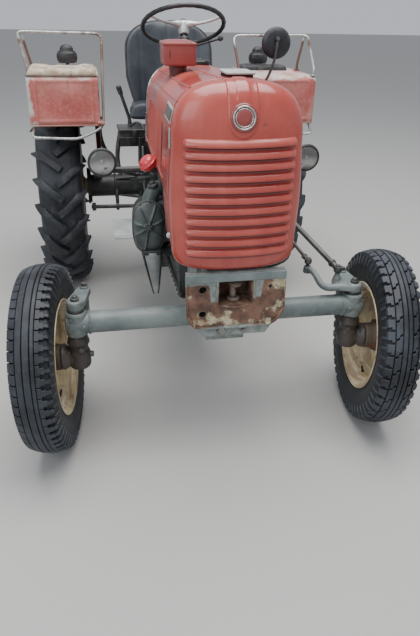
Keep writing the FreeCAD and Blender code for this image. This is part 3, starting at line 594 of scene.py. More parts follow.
def lamp_glass():
    """Clear front glass, slightly dusty."""
    paint = Paint("lamp_glass", "bare_steel", transmission_weight=0.92, ior=1.48)
    dust = paint.noise(30, 5, None, (4, 1, 7)).between(0.5, 0.9)
    return paint.finish(paint.mix(dust, (0.95, 0.96, 0.96), (0.78, 0.78, 0.75)), 0.05 + 0.15 * dust)


RED = red_paint("red_paint", (0.36, 0.040, 0.030), (0.50, 0.105, 0.080))
RED_DARK = red_paint("red_paint_box", (0.20, 0.028, 0.025), (0.30, 0.062, 0.054))
# Very dark copy of the red paint: painted shade for the intake's dent and neck and the fenders' inner sheets.
SHADE_RED = red_paint("red_paint_shade", (0.07, 0.012, 0.011), (0.14, 0.028, 0.024))
# Darker red painted as the shade in the recesses between the louvres.
HOLLOW_SHADE_RED = red_paint("red_paint_hollow_shade", (0.17, 0.022, 0.022), (0.25, 0.050, 0.050))
FENDER_RED = fender_paint()
GREY = grey_paint()
PLATE = rusty_plate()
CREAM = rim_paint()
# Front tyre carcasses: darker mottle and less dust than the other rubber, as painted shade on the front tyres.
FRONT_RUBBER_SHADED = rubber("front_tyre_rubber_shaded", dusty=0.16, worn=(0.018, 0.020, 0.025))
FRONT_TREAD = rubber("front_tread_rubber", dusty=0.30, worn=(0.050, 0.058, 0.072))
REAR_RUBBER = rubber("rear_tyre_rubber", dusty=0.42)
CASTING = oily_metal("oily_casting", "casting_paint", (0.016, 0.017, 0.018), (0.050, 0.054, 0.055), 0.30)
HOUSING = oily_metal("housing_casting", "housing_paint", (0.040, 0.052, 0.050), (0.120, 0.140, 0.135), 0.40)
FIN = oily_metal("pale_fin", "housing_paint", (0.24, 0.26, 0.26), (0.52, 0.54, 0.52), 0.30)
BLACK = oily_metal("black_metal", "black_metal", (0.010, 0.010, 0.011), (0.030, 0.031, 0.033), 0.22, shine=0.36)
STEEL = oily_metal("bare_steel", "bare_steel", (0.10, 0.095, 0.09), (0.24, 0.235, 0.225), 0.25, 0.5, 0.36, 0.7)
WEATHERED = oily_metal("weathered_steel", "bare_steel", (0.055, 0.055, 0.057), (0.15, 0.15, 0.15), 0.3, 0.15, 0.4, 0.4)
RUSTY = oily_metal("rusty_steel", "bare_steel", (0.055, 0.036, 0.028), (0.12, 0.075, 0.055), 0.35, 0.8, 0.6, 0.3)
PIN_RUST = oily_metal("pin_rust", "bare_steel", (0.10, 0.060, 0.045), (0.26, 0.20, 0.17), 0.2, 0.5, 0.5, 0.3)
HUB_DIRT = oily_metal("hub_dirt", "rim_paint", (0.035, 0.026, 0.022), (0.095, 0.070, 0.055), 0.4, 0.5, 0.6)
PALE_PLATE = oily_metal("pale_plate", "bare_steel", (0.36, 0.38, 0.38), (0.60, 0.63, 0.63), 0.3, 0.0, 0.30)
PLASTIC = oily_metal("black_plastic", "black_plastic", (0.010, 0.010, 0.012), (0.028, 0.029, 0.034), 0.15, shine=0.38)
MIRROR_SHELL = oily_metal("mirror_shell", "mirror_black", (0.012, 0.013, 0.017), (0.028, 0.030, 0.038), 0.18, shine=0.42)
SEAM_RUBBER = rubber("seam_rubber", "black_plastic", 0.3)
ZINC = zinc_tube()
VINYL = vinyl()
DARK_COVER = oily_metal("dark_cover", "cushion_right", (0.012, 0.012, 0.014), (0.035, 0.035, 0.040), 0.3, shine=0.55)
BEIGE_COVER = worn_cover()
CHROME = chrome("chrome")
WORN_CHROME = chrome("worn_chrome", worn=0.8)
SILVER = lamp_silver()
ALUMINIUM = oily_metal("pale_casting", "bare_steel", (0.42, 0.43, 0.43), (0.66, 0.67, 0.66), 0.2, 0.0, 0.34, 0.6)
GLASS = lamp_glass()
HORN_RED = red_paint("horn_red", (0.60, 0.030, 0.040), (0.72, 0.085, 0.095))
HORN_RED.slot = "horn_red"
# Near-black painted shade, put where only shadow shows: below the louvre lips, in the bonnet's side slots, in the holes
# of the rims and the front plate, and beneath the top vent plate.
SHADE_BLACK = Paint("painted_shade_black", "black_metal").finish((0.006, 0.005, 0.005), 0.9)


# Camera, floor and light

CAMERA_SPOT = (-445.2, -1983.5, 1534.8)
CAMERA_YAW = 0.20254
CAMERA_PITCH = 0.48110
CAMERA_ROLL = 0.02282
FOCAL_PIXELS = 597.6
IMAGE_HEIGHT = 636
SENSOR = 36.0


def set_camera():
    """Camera at the photograph's place, turned by its yaw, downward pitch and roll."""
    forward = np.array((math.sin(CAMERA_YAW) * math.cos(CAMERA_PITCH), math.cos(CAMERA_YAW) * math.cos(CAMERA_PITCH),
                        -math.sin(CAMERA_PITCH)))
    level = np.array((math.cos(CAMERA_YAW), -math.sin(CAMERA_YAW), 0))
    upward = np.cross(level, forward)
    right = level * math.cos(CAMERA_ROLL) + upward * math.sin(CAMERA_ROLL)
    top = upward * math.cos(CAMERA_ROLL) - level * math.sin(CAMERA_ROLL)
    data = bpy.data.cameras.new("photo_camera")
    data.sensor_width = SENSOR
    data.lens = FOCAL_PIXELS / IMAGE_HEIGHT * SENSOR
    camera = bpy.data.objects.new("photo_camera", data)
    bpy.context.scene.collection.objects.link(camera)
    turn = np.eye(4)
    turn[:3, :3] = np.stack([right, top, -forward], 1)
    turn[:3, 3] = CHASSIS.metres(CAMERA_SPOT)
    camera.matrix_world = Matrix(turn)
    bpy.context.scene.camera = camera


def set_stage():
    """Pale floor, an even pale sky and two large soft lamps."""
    mesh = bpy.data.meshes.new("floor")
    reach = 40
    mesh.from_pydata([(-reach, -reach, 0), (reach, -reach, 0), (reach, reach, 0), (-reach, reach, 0)], [], [(0, 1, 2, 3)])
    floor = bpy.data.objects.new("floor", mesh)
    bpy.context.scene.collection.objects.link(floor)
    paint = Paint("floor", "black_metal").finish((0.44, 0.435, 0.425), 0.85)
    mesh.materials.append(paint.material)
    world = bpy.data.worlds.new("studio")
    world.use_nodes = True
    world.node_tree.nodes["Background"].inputs["Color"].default_value = (0.80, 0.84, 0.90, 1)
    world.node_tree.nodes["Background"].inputs["Strength"].default_value = 0.70
    bpy.context.scene.world = world
    for name, spot, size, power, colour in (("over", (0.2, -0.8, 6.0), 5.0, 520, (1.0, 0.98, 0.95)),
                                            ("front_left", (-4.5, -5.0, 4.0), 4.0, 150, (0.92, 0.96, 1.0))):
        data = bpy.data.lights.new(name, "AREA")
        data.size = size
        data.energy = power
        data.color = colour
        lamp = bpy.data.objects.new(name, data)
        bpy.context.scene.collection.objects.link(lamp)
        lamp.location = spot
        lamp.rotation_euler = (Vector((0, 0, 0.6)) - Vector(spot)).to_track_quat("-Z", "Y").to_euler()


set_camera()
set_stage()


# Hood: the nose and the bonnet share one outline

NOSE_FRONT = -246.0
NOSE_BACK = -150.0
NOSE_DEPTH = NOSE_BACK - NOSE_FRONT
NOSE_FOOT = 766.3
SILL = 860.0
SHOULDER = 1150.0
HOOD_TOP = 1347.0
CROWN = HOOD_TOP - SHOULDER
HOOD_HALF = 205.0
WAIST_SWELL = 7.0
CORNER_POWER = 3.0
FOOT_POWER = 4.2
SIDE_FACE = 5.0
TOP_FACE = 2.7
CHIN_FACE = 5.0
FACE_BOW = 0.36
BONNET_REAR = 806.0
BONNET_LOW = 985.0
REAR_NARROWING = 24.0
REAR_DROP = 35.0
SEAM = 3.0
EMBLEM_HEIGHT = 1250.0
EMBLEM_RADIUS = 34.0
BAND_HALF = 48.0


def on_curve(angle, power):
    """Point in a direction on the curve |a|^power + |b|^power = 1."""
    a, b = np.cos(angle), np.sin(angle)
    size = (np.abs(a) ** power + np.abs(b) ** power) ** (-1 / power)
    return a * size, b * size


def hood_swell(z):
    """Extra half width at the waist, one half wave of a sine between sill and shoulder."""
    return WAIST_SWELL * np.sin(np.pi * np.clip((z - SILL) / (SHOULDER - SILL), 0, 1))


def face_power(lift):
    """How boxy the face rolls back: tight at the sides, soft towards the crown."""
    return SIDE_FACE - (SIDE_FACE - TOP_FACE) * lift ** 2


def nose_face(x, z):
    """y of the nose's face: a spot at the share c = (|x|^3 + rise^3)^(1/3) of the outline stands out
    by (1 - c^p)^(1/p) of the depth, less a bow with the square of its share of the width."""
    rise = np.clip((z - SHOULDER) / CROWN, 0, 1)
    wide = np.abs(x / (HOOD_HALF + hood_swell(z)))
    share = (wide ** CORNER_POWER + rise ** CORNER_POWER) ** (1 / CORNER_POWER)
    power = face_power(rise / np.maximum(share, 0.001))
    return NOSE_BACK - NOSE_DEPTH * (1 - np.clip(share, 0, 1) ** power) ** (1 / power) * (1 - FACE_BOW * wide ** 2)


def half_outline(steps=22, side_steps=16):
    """Right half of the nose's outline from the middle of the foot to the middle of the top:
    share of the half width, height it is measured from, and share of the chin or crown."""
    low = on_curve(np.linspace(-np.pi / 2, 0, steps + 1), FOOT_POWER)
    top = on_curve(np.linspace(0, np.pi / 2, steps + 1), CORNER_POWER)
    side = np.linspace(SILL, SHOULDER, side_steps + 1)[1:-1]
    across = np.concatenate([low[0], np.ones_like(side), top[0]])
    level = np.concatenate([np.full(steps + 1, SILL), side, np.full(steps + 1, SHOULDER)])
    lift = np.concatenate([low[1], np.zeros_like(side), top[1]])
    return across, level, lift


def nose_shell():
    """Outline drawn in towards the face: width and crown shrink by c while the face comes forward by s,
    with c^p + s^p = 1, and the chin shrinks by (1 - s^5)^(1/5), which keeps it full."""
    across, level, lift = half_outline()
    shrink, forward = on_curve(np.linspace(0, np.pi / 2, 30)[:, None], face_power(np.clip(lift, 0, 1)))
    chin = np.clip(1 - forward ** CHIN_FACE, 0, 1) ** (1 / CHIN_FACE)
    height = np.where(lift > 0, lift * CROWN * shrink, lift * (SILL - NOSE_FOOT) * chin)
    x = across * (HOOD_HALF + hood_swell(level)) * shrink
    y = NOSE_BACK - NOSE_DEPTH * forward * (1 - FACE_BOW * (across * shrink) ** 2)
    half = np.stack([x, y, level + height], -1)
    whole = np.concatenate([half, (half * (-1, 1, 1))[:, -2:0:-1]], 1)
    return grid(whole, round_columns=True)


LOUVRE_COUNT = 11
LOUVRE_TOP = 1176.0
LOUVRE_BOTTOM = 838.0
LOUVRE_HALF = 177.0
LOUVRE_END = 11.0


def louvre(height, half):
    """Pressed rib: a lip profile carried across the face; its ends close in a quarter circle."""
    lift = np.array((15, 13, 9, 4, -2, -7, -9.5, -10, -8.5, -6))
    out = np.array((-2, 2.5, 7.5, 11.5, 13.8, 14, 11.5, 7.5, 2.0, -2))
    x = half * np.sin(np.linspace(-np.pi / 2, np.pi / 2, 61))
    end = np.sqrt(1 - np.clip((np.abs(x) - half + LOUVRE_END) / LOUVRE_END, 0, 1) ** 2)
    z = height + lift[:, None] * end
    y = nose_face(x + 0 * z, z) - (out[:, None] + 2) * end + 2
    return grid(np.stack([x + 0 * z, y, z], -1), round_rows=True)


def louvre_slot(height, half, top, bottom, proud):
    """Strip of the face below a rib's lip, tapering towards its ends and just proud of the face; it carries painted
    shade.
    """
    x = half * np.sin(np.linspace(-np.pi / 2, np.pi / 2, 41))
    taper = (1 - (x / half) ** 8) ** 0.5
    z = height + np.stack([top + 0 * x, top + (bottom - top) * taper])
    return grid(np.stack([x + 0 * z, nose_face(x, z) - proud, z], -1))


BAND_ACROSS = np.array((-1, -0.99, -0.93, -0.84, -0.45, -0.39, -0.34, -0.2, 0, 0.2, 0.34, 0.39, 0.45, 0.84, 0.93, 0.99, 1))


def band_height(inner):
    """Height of the band across its width: round shoulders, and a second step along its middle."""
    shoulder = 5.0 * (1 - np.abs(BAND_ACROSS) ** 14) ** 0.5 - 1.5
    step = 2.6 * np.clip((0.45 - np.abs(BAND_ACROSS)) / 0.09, 0, 1)
    return shoulder + step * np.asarray(inner)[..., None]


def nose_band():
    """Raised band: a half ellipse round the emblem's foot, then up the middle to the top."""
    turn = np.linspace(0.06, np.pi / 2, 14)
    low_z = EMBLEM_HEIGHT - 56 * np.cos(turn)
    low_half = BAND_HALF * np.sin(turn)
    start = np.arccos((EMBLEM_HEIGHT - SHOULDER) / CROWN)
    shrink, _ = on_curve(np.linspace(start, 0, 20)[1:], TOP_FACE)
    z = np.concatenate([low_z, SHOULDER + CROWN * shrink])
    half = np.concatenate([low_half, np.full(len(shrink), BAND_HALF)])[:, None]
    x = half * BAND_ACROSS
    level = z[:, None] + 0 * x
    points = np.stack([x, nose_face(x, level), level], -1)
    inner = np.clip((z - EMBLEM_HEIGHT - EMBLEM_RADIUS) / 8, 0, 1)
    return grid(raised(points, -band_height(inner)))


def make_nose():
    piece("nose_shell", nose_shell(), RED, replaces=("nose_cowl",), wall=2.5, sharp=50)
    heights = np.linspace(LOUVRE_TOP, LOUVRE_BOTTOM, LOUVRE_COUNT)
    halves = np.linspace(LOUVRE_HALF, LOUVRE_HALF - 5, LOUVRE_COUNT)
    piece("nose_louvres", [louvre(z, half) for z, half in zip(heights, halves)], RED, sharp=60)
    # Near-black strip below each louvre lip: painted shadow of the lip.
    slots = [louvre_slot(z, half - 7, -7.0, -14.0, 0.8) for z, half in zip(heights, halves)]
    piece("nose_louvre_slots", slots, SHADE_BLACK)
    # Darker red strip between each louvre and the next: painted shade below the lip.
    hollow_shades = [louvre_slot(z, half - 5, -8.0, -19.5, 0.4) for z, half in zip(heights, halves)]
    piece("nose_louvre_hollows", hollow_shades, HOLLOW_SHADE_RED)
    piece("nose_band", nose_band(), RED, sharp=60)
    here = np.array((0, float(nose_face(0.0, EMBLEM_HEIGHT)), EMBLEM_HEIGHT))
    above = np.array((0, float(nose_face(0.0, EMBLEM_HEIGHT + 1)), EMBLEM_HEIGHT + 1))
    out = unit(np.cross(unit(above - here), (1, 0, 0)))
    out = out if out[1] < 0 else -out
    disc = [(0, 42), (5, 40), (6.5, 36), (5.5, 28.5), (5.5, 26), (8, 23), (9, 12), (9.3, 0)]
    piece("emblem_disc", lathe(disc, 64, here, out), RED_DARK, sharp=50)
    rings = [lathe(arc(7, radius, width, 0, 360, 12)[:-1], 72, here, out, ring=True)
             for radius, width in ((EMBLEM_RADIUS - 2, 2.6), (25.5, 1.6))]
    piece("emblem_rings", rings, WORN_CHROME)


def hood_size(y):
    """Half width and top of the bonnet, both falling in a straight line towards the back."""
    back = (np.asarray(y, float) - NOSE_BACK) / (BONNET_REAR - NOSE_BACK)
    return HOOD_HALF - REAR_NARROWING * back, HOOD_TOP - REAR_DROP * back


def hood_top(x, y):
    half, top = hood_size(y)
    return top - CROWN + CROWN * (1 - np.abs(x / half) ** CORNER_POWER) ** (1 / CORNER_POWER)


def hood_side(y, z):
    """Half width of the bonnet's skin at a height."""
    half, top = hood_size(y)
    rise = np.clip((z - top + CROWN) / CROWN, 0, 1)
    return half * (1 - rise ** CORNER_POWER) ** (1 / CORNER_POWER) + hood_swell(z) * half / HOOD_HALF


def bonnet_skin():
    """Outline of crown and sides carried back with its width and top."""
    y = np.linspace(NOSE_BACK + SEAM, BONNET_REAR, 28)[:, None]
    half, top = hood_size(y)
    across, lift = on_curve(np.linspace(0, np.pi / 2, 27), CORNER_POWER)
    side = np.linspace(BONNET_LOW, SHOULDER, 10)[:-1]
    x = np.concatenate([hood_side(y, side + 0 * y), half * across], 1)
    z = np.concatenate([side - (HOOD_TOP - top), top - CROWN + CROWN * lift], 1)
    half_skin = np.stack([x, np.broadcast_to(y, x.shape), np.maximum(z, BONNET_LOW)], -1)
    return grid(np.concatenate([half_skin, (half_skin * (-1, 1, 1))[:, -2::-1]], 1))


def side_cover(side):
    """Lower side sheet behind the nose, down round the corner of the foot."""
    y = np.linspace(NOSE_BACK + SEAM, 30, 8)[:, None]
    across, lift = on_curve(np.linspace(0, -0.9, 16), CORNER_POWER)
    z_side = np.linspace(BONNET_LOW + 20, SILL, 12)[:-1]
    half = hood_size(y)[0]
    x = np.concatenate([hood_side(y, z_side + 0 * y), half * across], 1)
    z = np.concatenate([z_side, SILL + lift * (SILL - NOSE_FOOT)]) + 0 * y
    return grid(np.stack([side * (x - 0.4), np.broadcast_to(y, x.shape), z], -1))


def bonnet_strip():
    """Raised strip along the middle of the bonnet, as wide as the band of the nose."""
    y = np.linspace(NOSE_BACK + SEAM, BONNET_REAR - 30, 24)[:, None]
    x = BAND_HALF * BAND_ACROSS + 0 * y
    z = hood_top(x, y) + band_height(np.zeros(len(y)))
    return grid(np.stack([x, np.broadcast_to(y, x.shape), z], -1))


def side_plate(side, y_span, z_span, height):
    """Thin plate that follows the bonnet's side, with its rim let into the skin."""
    edge = np.array((0, 0, 1, 1))
    nudge = np.array((0, 1.2, -1.2, 0))
    y = (np.array(y_span)[edge] + nudge)[None, :]
    z = (np.array(z_span)[edge] + nudge)[:, None]
    out = np.full((4, 4), -1.5)
    out[1:3, 1:3] = height
    x = hood_side(y + 0 * z, z + 0 * y) + out
    return grid(np.stack([side * x, y + 0 * z, z + 0 * y], -1))


def skin_line(side, start, end, lift=0.0, count=24):
    """Points along the bonnet's side between two (y, z) spots."""
    y = np.linspace(start[0], end[0], count)
    z = np.linspace(start[1], end[1], count)
    return np.stack([side * (hood_side(y, z) + lift), y, z], -1)


def hood_ring(y, inset):
    """Closed way round the bonnet's arch at one y, from foot to foot."""
    half, top = hood_size(y)
    across, lift = on_curve(np.linspace(0, np.pi, 61), CORNER_POWER)
    low = np.linspace(BONNET_LOW, top - CROWN, 8)[:-1]
    right = np.stack([hood_side(y, low) - inset, np.full(7, y), low], -1)
    crown = np.stack([across * (half - inset), np.full(61, y), top - CROWN + lift * (CROWN - inset)], -1)
    return np.concatenate([right, crown, (right * (-1, 1, 1))[::-1]])


def make_bonnet():
    piece("bonnet_skin", bonnet_skin(), RED, replaces=("bonnet",), wall=2.0, sharp=50)
    piece("bonnet_side_covers", [side_cover(side) for side, _ in SIDES], RED, wall=2.0)
    piece("bonnet_strip", bonnet_strip(), RED, sharp=60)
    across, level, lift = half_outline()
    height = np.where(lift > 0, lift * CROWN, lift * (SILL - NOSE_FOOT))
    half = np.stack([across * (HOOD_HALF + hood_swell(level)) - 2.5 * across, np.full(len(across), NOSE_BACK + 1.5),
                     level + height - 2.5 * np.sign(lift)], -1)
    seam = np.concatenate([half, (half * (-1, 1, 1))[-2:0:-1]])
    circle = arc(0, 0, 2.9, 0, 360, 8)[:-1]
    piece("nose_seam", sweep(seam, circle, closed=True), SEAM_RUBBER)
    beads = []
    for side, _ in SIDES:
        beads.append(sweep(skin_line(side, (NOSE_BACK + 4, 1283), (BONNET_REAR - 20, 1250)), circle * 1.1))
        beads.append(sweep(skin_line(side, (34, 1012), (BONNET_REAR - 12, 1004)), circle))
        y = np.linspace(NOSE_BACK + 6, BONNET_REAR - 18, 24)
        x = np.linspace(142, 126, 24)
        beads.append(sweep(np.stack([side * x, y, hood_top(x, y)], 1), circle * 1.15))
    piece("bonnet_beads", beads, RED)
    piece("bonnet_rear_trim", sweep(hood_ring(BONNET_REAR, 1.0), circle * 1.7), SEAM_RUBBER)
    piece("bonnet_trim_wire", sweep(hood_ring(BONNET_REAR - 16, -1.0), circle * 0.8), WORN_CHROME)
    badges = [side_plate(side, (-138, 28), (1217, 1263), 2.2) for side, _ in SIDES]
    piece("side_badge_borders", badges, PALE_PLATE)
    insets = [side_plate(side, (-131, 21), (1223, 1257), 2.8) for side, _ in SIDES]
    piece("side_badge_fields", insets, HOUSING)
    piece("side_labels", [side_plate(side, (-146, -116), (1146, 1206), 1.2) for side, _ in SIDES], PALE_PLATE)
    knobs = []
    for side, _ in SIDES:
        at = (side * (float(hood_side(-94.0, 852.0)) - 2), -94, 852)
        knobs.append(lathe([(0, 0), (0, 9), (4, 9.5), (8, 8), (10.5, 4), (11, 0)], 20, at, (side, 0, 0)))
    piece("cover_knobs", knobs, PALE_PLATE)
    piece("top_vent_plate", block((-32, 58), (-130, -20), (1355, 1363), 3.5), PALE_PLATE)
    # Near-black base beneath the plate: painted shadow of the raised plate.
    piece("top_vent_base", block((-27, 52), (-125, -26), (1340, 1356), 3), SHADE_BLACK)
    cap = round_section([(-6, 0), (-6, 37), (4, 37), (6, 40), (18, 40), (22, 34), (24, 14), (27, 10), (28, 0)], 3)
    piece("filler_cap", lathe(cap, 40, (20, 600, float(hood_top(20.0, 600.0))), (0, 0, 1)), BLACK)
    # Near-black strips in the side slots: painted shade inside the openings.
    slots = []
    for side, _ in SIDES:
        for y in np.linspace(92, 600, 24):
            slots.append(side_plate(side, (y - 5, y + 5), (1030, 1185), 1.0))
    piece("bonnet_side_slots", slots, SHADE_BLACK)
    lips = [sweep(skin_line(side, (y + 7, 1026), (y + 7, 1189), 0.0, 12), circle * 1.2)
            for side, _ in SIDES for y in np.linspace(92, 600, 24)]
    piece("bonnet_slot_lips", lips, RED)


INTAKE_X = -110.0
INTAKE_Y = 330.0


def make_intake():
    """Box with a domed lid on a round neck."""
    foot = HOOD_TOP - 2
    body = [block((INTAKE_X - 58, INTAKE_X + 58), (INTAKE_Y - 62, INTAKE_Y + 62), (foot, foot + 72), 8, 4),
            block((INTAKE_X - 60, INTAKE_X + 60), (INTAKE_Y - 64, INTAKE_Y + 64), (foot + 63, foot + 76), 6, 4)]
    across = np.linspace(-1, 1, 21)
    u, v = np.meshgrid(across, across, indexing="ij")
    dome = 74 + 9 * (1 - u ** 4) * (1 - v ** 4)
    lid = grid(np.stack([INTAKE_X + 59 * u, INTAKE_Y + 63 * v, foot + dome], -1))
    piece("intake_body", body, RED_DARK, replaces=("intake_box",))
    piece("intake_lid", lid, RED_DARK)
    # Dark oval on the box's front: painted shadow of a dent.
    dent = lathe([(0, 7), (0.8, 5), (0.8, 0)], 20, (0, 0, 0), (0, -1, 0))
    dent.points = dent.points * (0.35, 1, 2.6) + (INTAKE_X - 36, INTAKE_Y - 62, foot + 38)
    piece("intake_dent", dent, SHADE_RED)
    # Neck in very dark red: painted shade below the box.
    neck = [(-52, 30), (-8, 32), (-4, 35), (2, 35)]
    piece("intake_neck", lathe(neck, 40, (INTAKE_X, INTAKE_Y, foot), (0, 0, 1)), SHADE_RED)


make_nose()
make_bonnet()
make_intake()


# Wheels, drawn with the wheel centre at the origin and the outside at +X

def mirrored_outline(half):
    """Half an outline of (across, radius) from the outside in, with its mirror image."""
    half = np.asarray(half, float)
    return np.vstack([half, (half * (-1, 1))[::-1]])


def on_wheel(x, along, radius, rolling):
    """Spot on a wheel: distance along the tread is an angle back from the top."""
    angle = along / rolling
    return np.stack([x + 0 * angle, radius * np.sin(angle), radius * np.cos(angle)], -1)


def blocks(outline, count, top, base, rolling, start=0.0, draw_in=1.6):
    """Tread blocks: an outline of (across, along) raised from base(x) to top(x), with a drawn-in upper edge."""
    outline = np.asarray(outline, float)
    middle = outline.mean(0)
    inner = outline + unit(middle - outline) * draw_in
    made = []
    for k in range(count):
        shift = start + k * 2 * np.pi * rolling / count
        rows = [on_wheel(o[:, 0], o[:, 1] + shift, level(o[:, 0]) - sink, rolling)
                for o, level, sink in ((outline, base, 3.0), (outline, top, draw_in), (inner, top, 0.0))]
        made.append(grid(np.stack(rows), round_columns=True, capped=True))
    return made


def rib(low, high, top, base, notch=0.0, pitch=40.0, rolling=350.0, turns=720):
    """Ring between two widths whose edges step in and out by a notch along the circumference."""
    along = np.linspace(0, 2 * np.pi * rolling, turns, endpoint=False)
    step = notch * (np.floor(along / pitch * 2) % 2)
    other = notch * (np.floor(along / pitch * 2 + 0.5) % 2)
    x = np.stack([low + step - 1, low + step, low + step + 1.5, high - other - 1.5, high - other, high - other + 1], 1)
    level = np.stack([base(x[:, 0]) - 2, top(x[:, 1]) - 1.5, top(x[:, 2]), top(x[:, 3]), top(x[:, 4]) - 1.5,
                      base(x[:, 5]) - 2], 1)
    angle = (along / rolling)[:, None]
    points = np.stack([x, level * np.sin(angle), level * np.cos(angle)], -1)
    return grid(points, round_rows=True)


FRONT_RADIUS = 352.0
FRONT_BEAD = 204.5


def front_top(x):
    """Radius of the tread over the width of a front tyre."""
    return FRONT_RADIUS - 0.0034 * x ** 2


def front_base(x):
    return front_top(x) - 10


def front_carcass():
    half = [(53, FRONT_BEAD), (56, 214), (57, 224), (61, 226), (62, 231), (60, 234), (66, 250), (70, 268), (71, 286),
            (70, 302), (66.5, 318), (60, 328), (44, 334.5), (22, 340), (0, 342)]
    return lathe(round_section(mirrored_outline(half[:-1])), 128)


def front_tread(side):
    """Tractor's right: long ribs between two rows of stepped blocks. Left: ribs cut by slanting steps."""
    flat = lambda x: np.full(np.shape(x), 322.0) - 1.5 * np.clip(np.abs(x) - 62, 0, None)
    parts = []
    if side < 0:
        parts += [rib(19, 40, front_top, front_base), rib(-6, 16, front_top, front_base),
                  rib(-21, -9, front_top, front_base)]
        stepped = [(42, 0), (56, 0), (56, -4), (67, -4), (67, 30), (56, 30), (56, 34), (42, 34)]
        parts += blocks(stepped, 58, front_top, front_base, FRONT_RADIUS)
        inner = [(-23, 0), (-37, 0), (-37, 8), (-52, 8), (-52, 13), (-66, 13), (-66, 25), (-52, 25), (-52, 30),
                 (-37, 30), (-37, 35), (-23, 35)]
        parts += blocks(inner, 58, front_top, front_base, FRONT_RADIUS, 9)
    else:
        parts += [rib(-12, 3, front_top, front_base), rib(7, 20, front_top, front_base)]
        cut = [(-38, 0), (-27, 6), (-27, 14), (-16, 20), (-16, 76), (-27, 70), (-27, 62), (-38, 56)]
        parts += blocks(cut, 34, front_top, front_base, FRONT_RADIUS)
        cut = [(24, 0), (35, 6), (35, 14), (44, 20), (44, 76), (35, 70), (35, 62), (24, 56)]
        parts += blocks(cut, 34, front_top, front_base, FRONT_RADIUS, 20)
        lug = [(48, 0), (60, 2), (68, 6), (68, 26), (60, 30), (48, 34)]
        parts += blocks(lug, 48, front_top, front_base, FRONT_RADIUS)
        inner = [(-42, 0), (-52, 0), (-52, 8), (-66, 8), (-66, 38), (-42, 38)]
        parts += blocks(inner, 48, front_top, front_base, FRONT_RADIUS, 12)
    buttress = []
    for sign in (1, -1):
        for k in range(54):
            angle = k * 2 * np.pi / 54 + (0.06 if sign < 0 else 0)
            reach = np.array([(64.5, 327), (70.5, 312), (72.5, 296), (71.5, 288)])
            along = np.array((-6, -4, 4, 6))
            out = np.array((-2.5, 1.2, 1.2, -2.5))
            x = sign * (reach[:, 0, None] + out)
            turn = angle + along / FRONT_RADIUS + 0 * x
            points = np.stack([x, reach[:, 1, None] * np.sin(turn), reach[:, 1, None] * np.cos(turn)], -1)
            buttress.append(grid(points))
    return parts + buttress


FRONT_RIM_RING = [
    (-58, 219.5), (-62, 218), (-62, 213), (-58, 207), (-57, 201), (-50, 198), (-34, 196), (-24, 182), (8, 182), (18, 196),
    (50, 198), (57, 201), (58, 207), (62, 213), (62, 218), (58, 219.5), (59, 213), (54.5, 207), (53.5, 200), (48, 194.5),
    (21, 192.5), (11, 178), (-27, 178), (-37, 192.5), (-48, 194.5), (-53.5, 200), (-54.5, 207), (-59, 213),
]
FRONT_DISC = [(8, 181), (16, 172), (24, 158), (29, 140), (30, 112), (24, 92), (24, 48), (20, 48), (19, 93), (25, 113),
              (24, 138), (19, 155), (12, 168), (3, 179)]


def make_front_wheel(side, word):
    body = "front_wheel_" + word
    place = FRONT_WHEEL[side]
    piece("front_tyre_carcass_" + word, front_carcass(), FRONT_RUBBER_SHADED, body, place, ("front_tyre_" + word,), sharp=50)
    piece("front_tyre_tread_" + word, front_tread(side), FRONT_TREAD, body, place, sharp=30)
    rim = [lathe(round_section(FRONT_RIM_RING, 3.5, True), 96, ring=True),
           lathe(round_section(FRONT_DISC, 7, True), 96, ring=True)]
    rim += [lathe([(-20, 189.5), (-18, 187), (-14, 184), (-10, 181)], 96)]
    piece("front_rim_%s_shell" % word, rim, CREAM, body, place, ("front_rim_" + word,))
    hub = lathe(round_section([(-44, 24), (-44, 44), (-38, 50), (-12, 51), (-4, 56), (4, 58), (10, 66), (22, 68), (22, 30)], 3),
                48)
    piece("front_hub_%s_drum" % word, hub, HUB_DIRT, body, place)
    cap = lathe(round_section([(24, 62), (34, 60), (42, 52), (58, 50), (63, 44), (64, 38), (76, 36), (81, 30), (83, 14),
                               (83.5, 0)], 3), 48)
    piece("front_hub_%s_cap" % word, cap, CREAM, body, place)
    wheel_bolts = ring_of(5, 77, lambda y, z: bolt((24, y, z), (1, 0, 0), 10, 11), 20)
    wheel_bolts += ring_of(6, 57, lambda y, z: bolt((36, y, z), (1, 0, 0), 4.5, 4))
    inner_bolts = ring_of(5, 58, lambda y, z: bolt((8, y, z), (-1, 0, 0), 7, 7), 50)
    piece("front_wheel_%s_bolts" % word, wheel_bolts + inner_bolts, RUSTY, body, place)
    valve = lathe([(0, 6), (9, 6), (12, 4), (26, 4), (27, 3), (33, 3), (34, 0)], 14, (-8, 0, -180), (-0.3, 0, 1))
    piece("front_valve_" + word, valve, SEAM_RUBBER, body, place)


REAR_RADIUS = 558.0
REAR_BEAD = 356.5


def rear_carcass():
    half = [(95, REAR_BEAD), (98, 368), (101, 376), (106, 378), (107, 384), (105, 388), (111, 408), (114.5, 430),
            (115, 455), (112.5, 480), (106, 503), (92, 520), (62, 530), (30, 533.5)]
    return lathe(round_section(mirrored_outline(half)), 128)


LUG_COUNT = 22
LUG_WAY = np.array([  # across, back along the tread, top radius, base radius, half width
    (-12, -8, 556, 528, 17), (20, 16, 558, 529, 17.5), (50, 42, 556, 527, 18), (76, 66, 549, 521, 19),
    (95, 88, 535, 510, 20), (105.5, 104, 514, 494, 21), (111.5, 116, 490, 475, 22), (113, 124, 466, 460, 22.5),
])


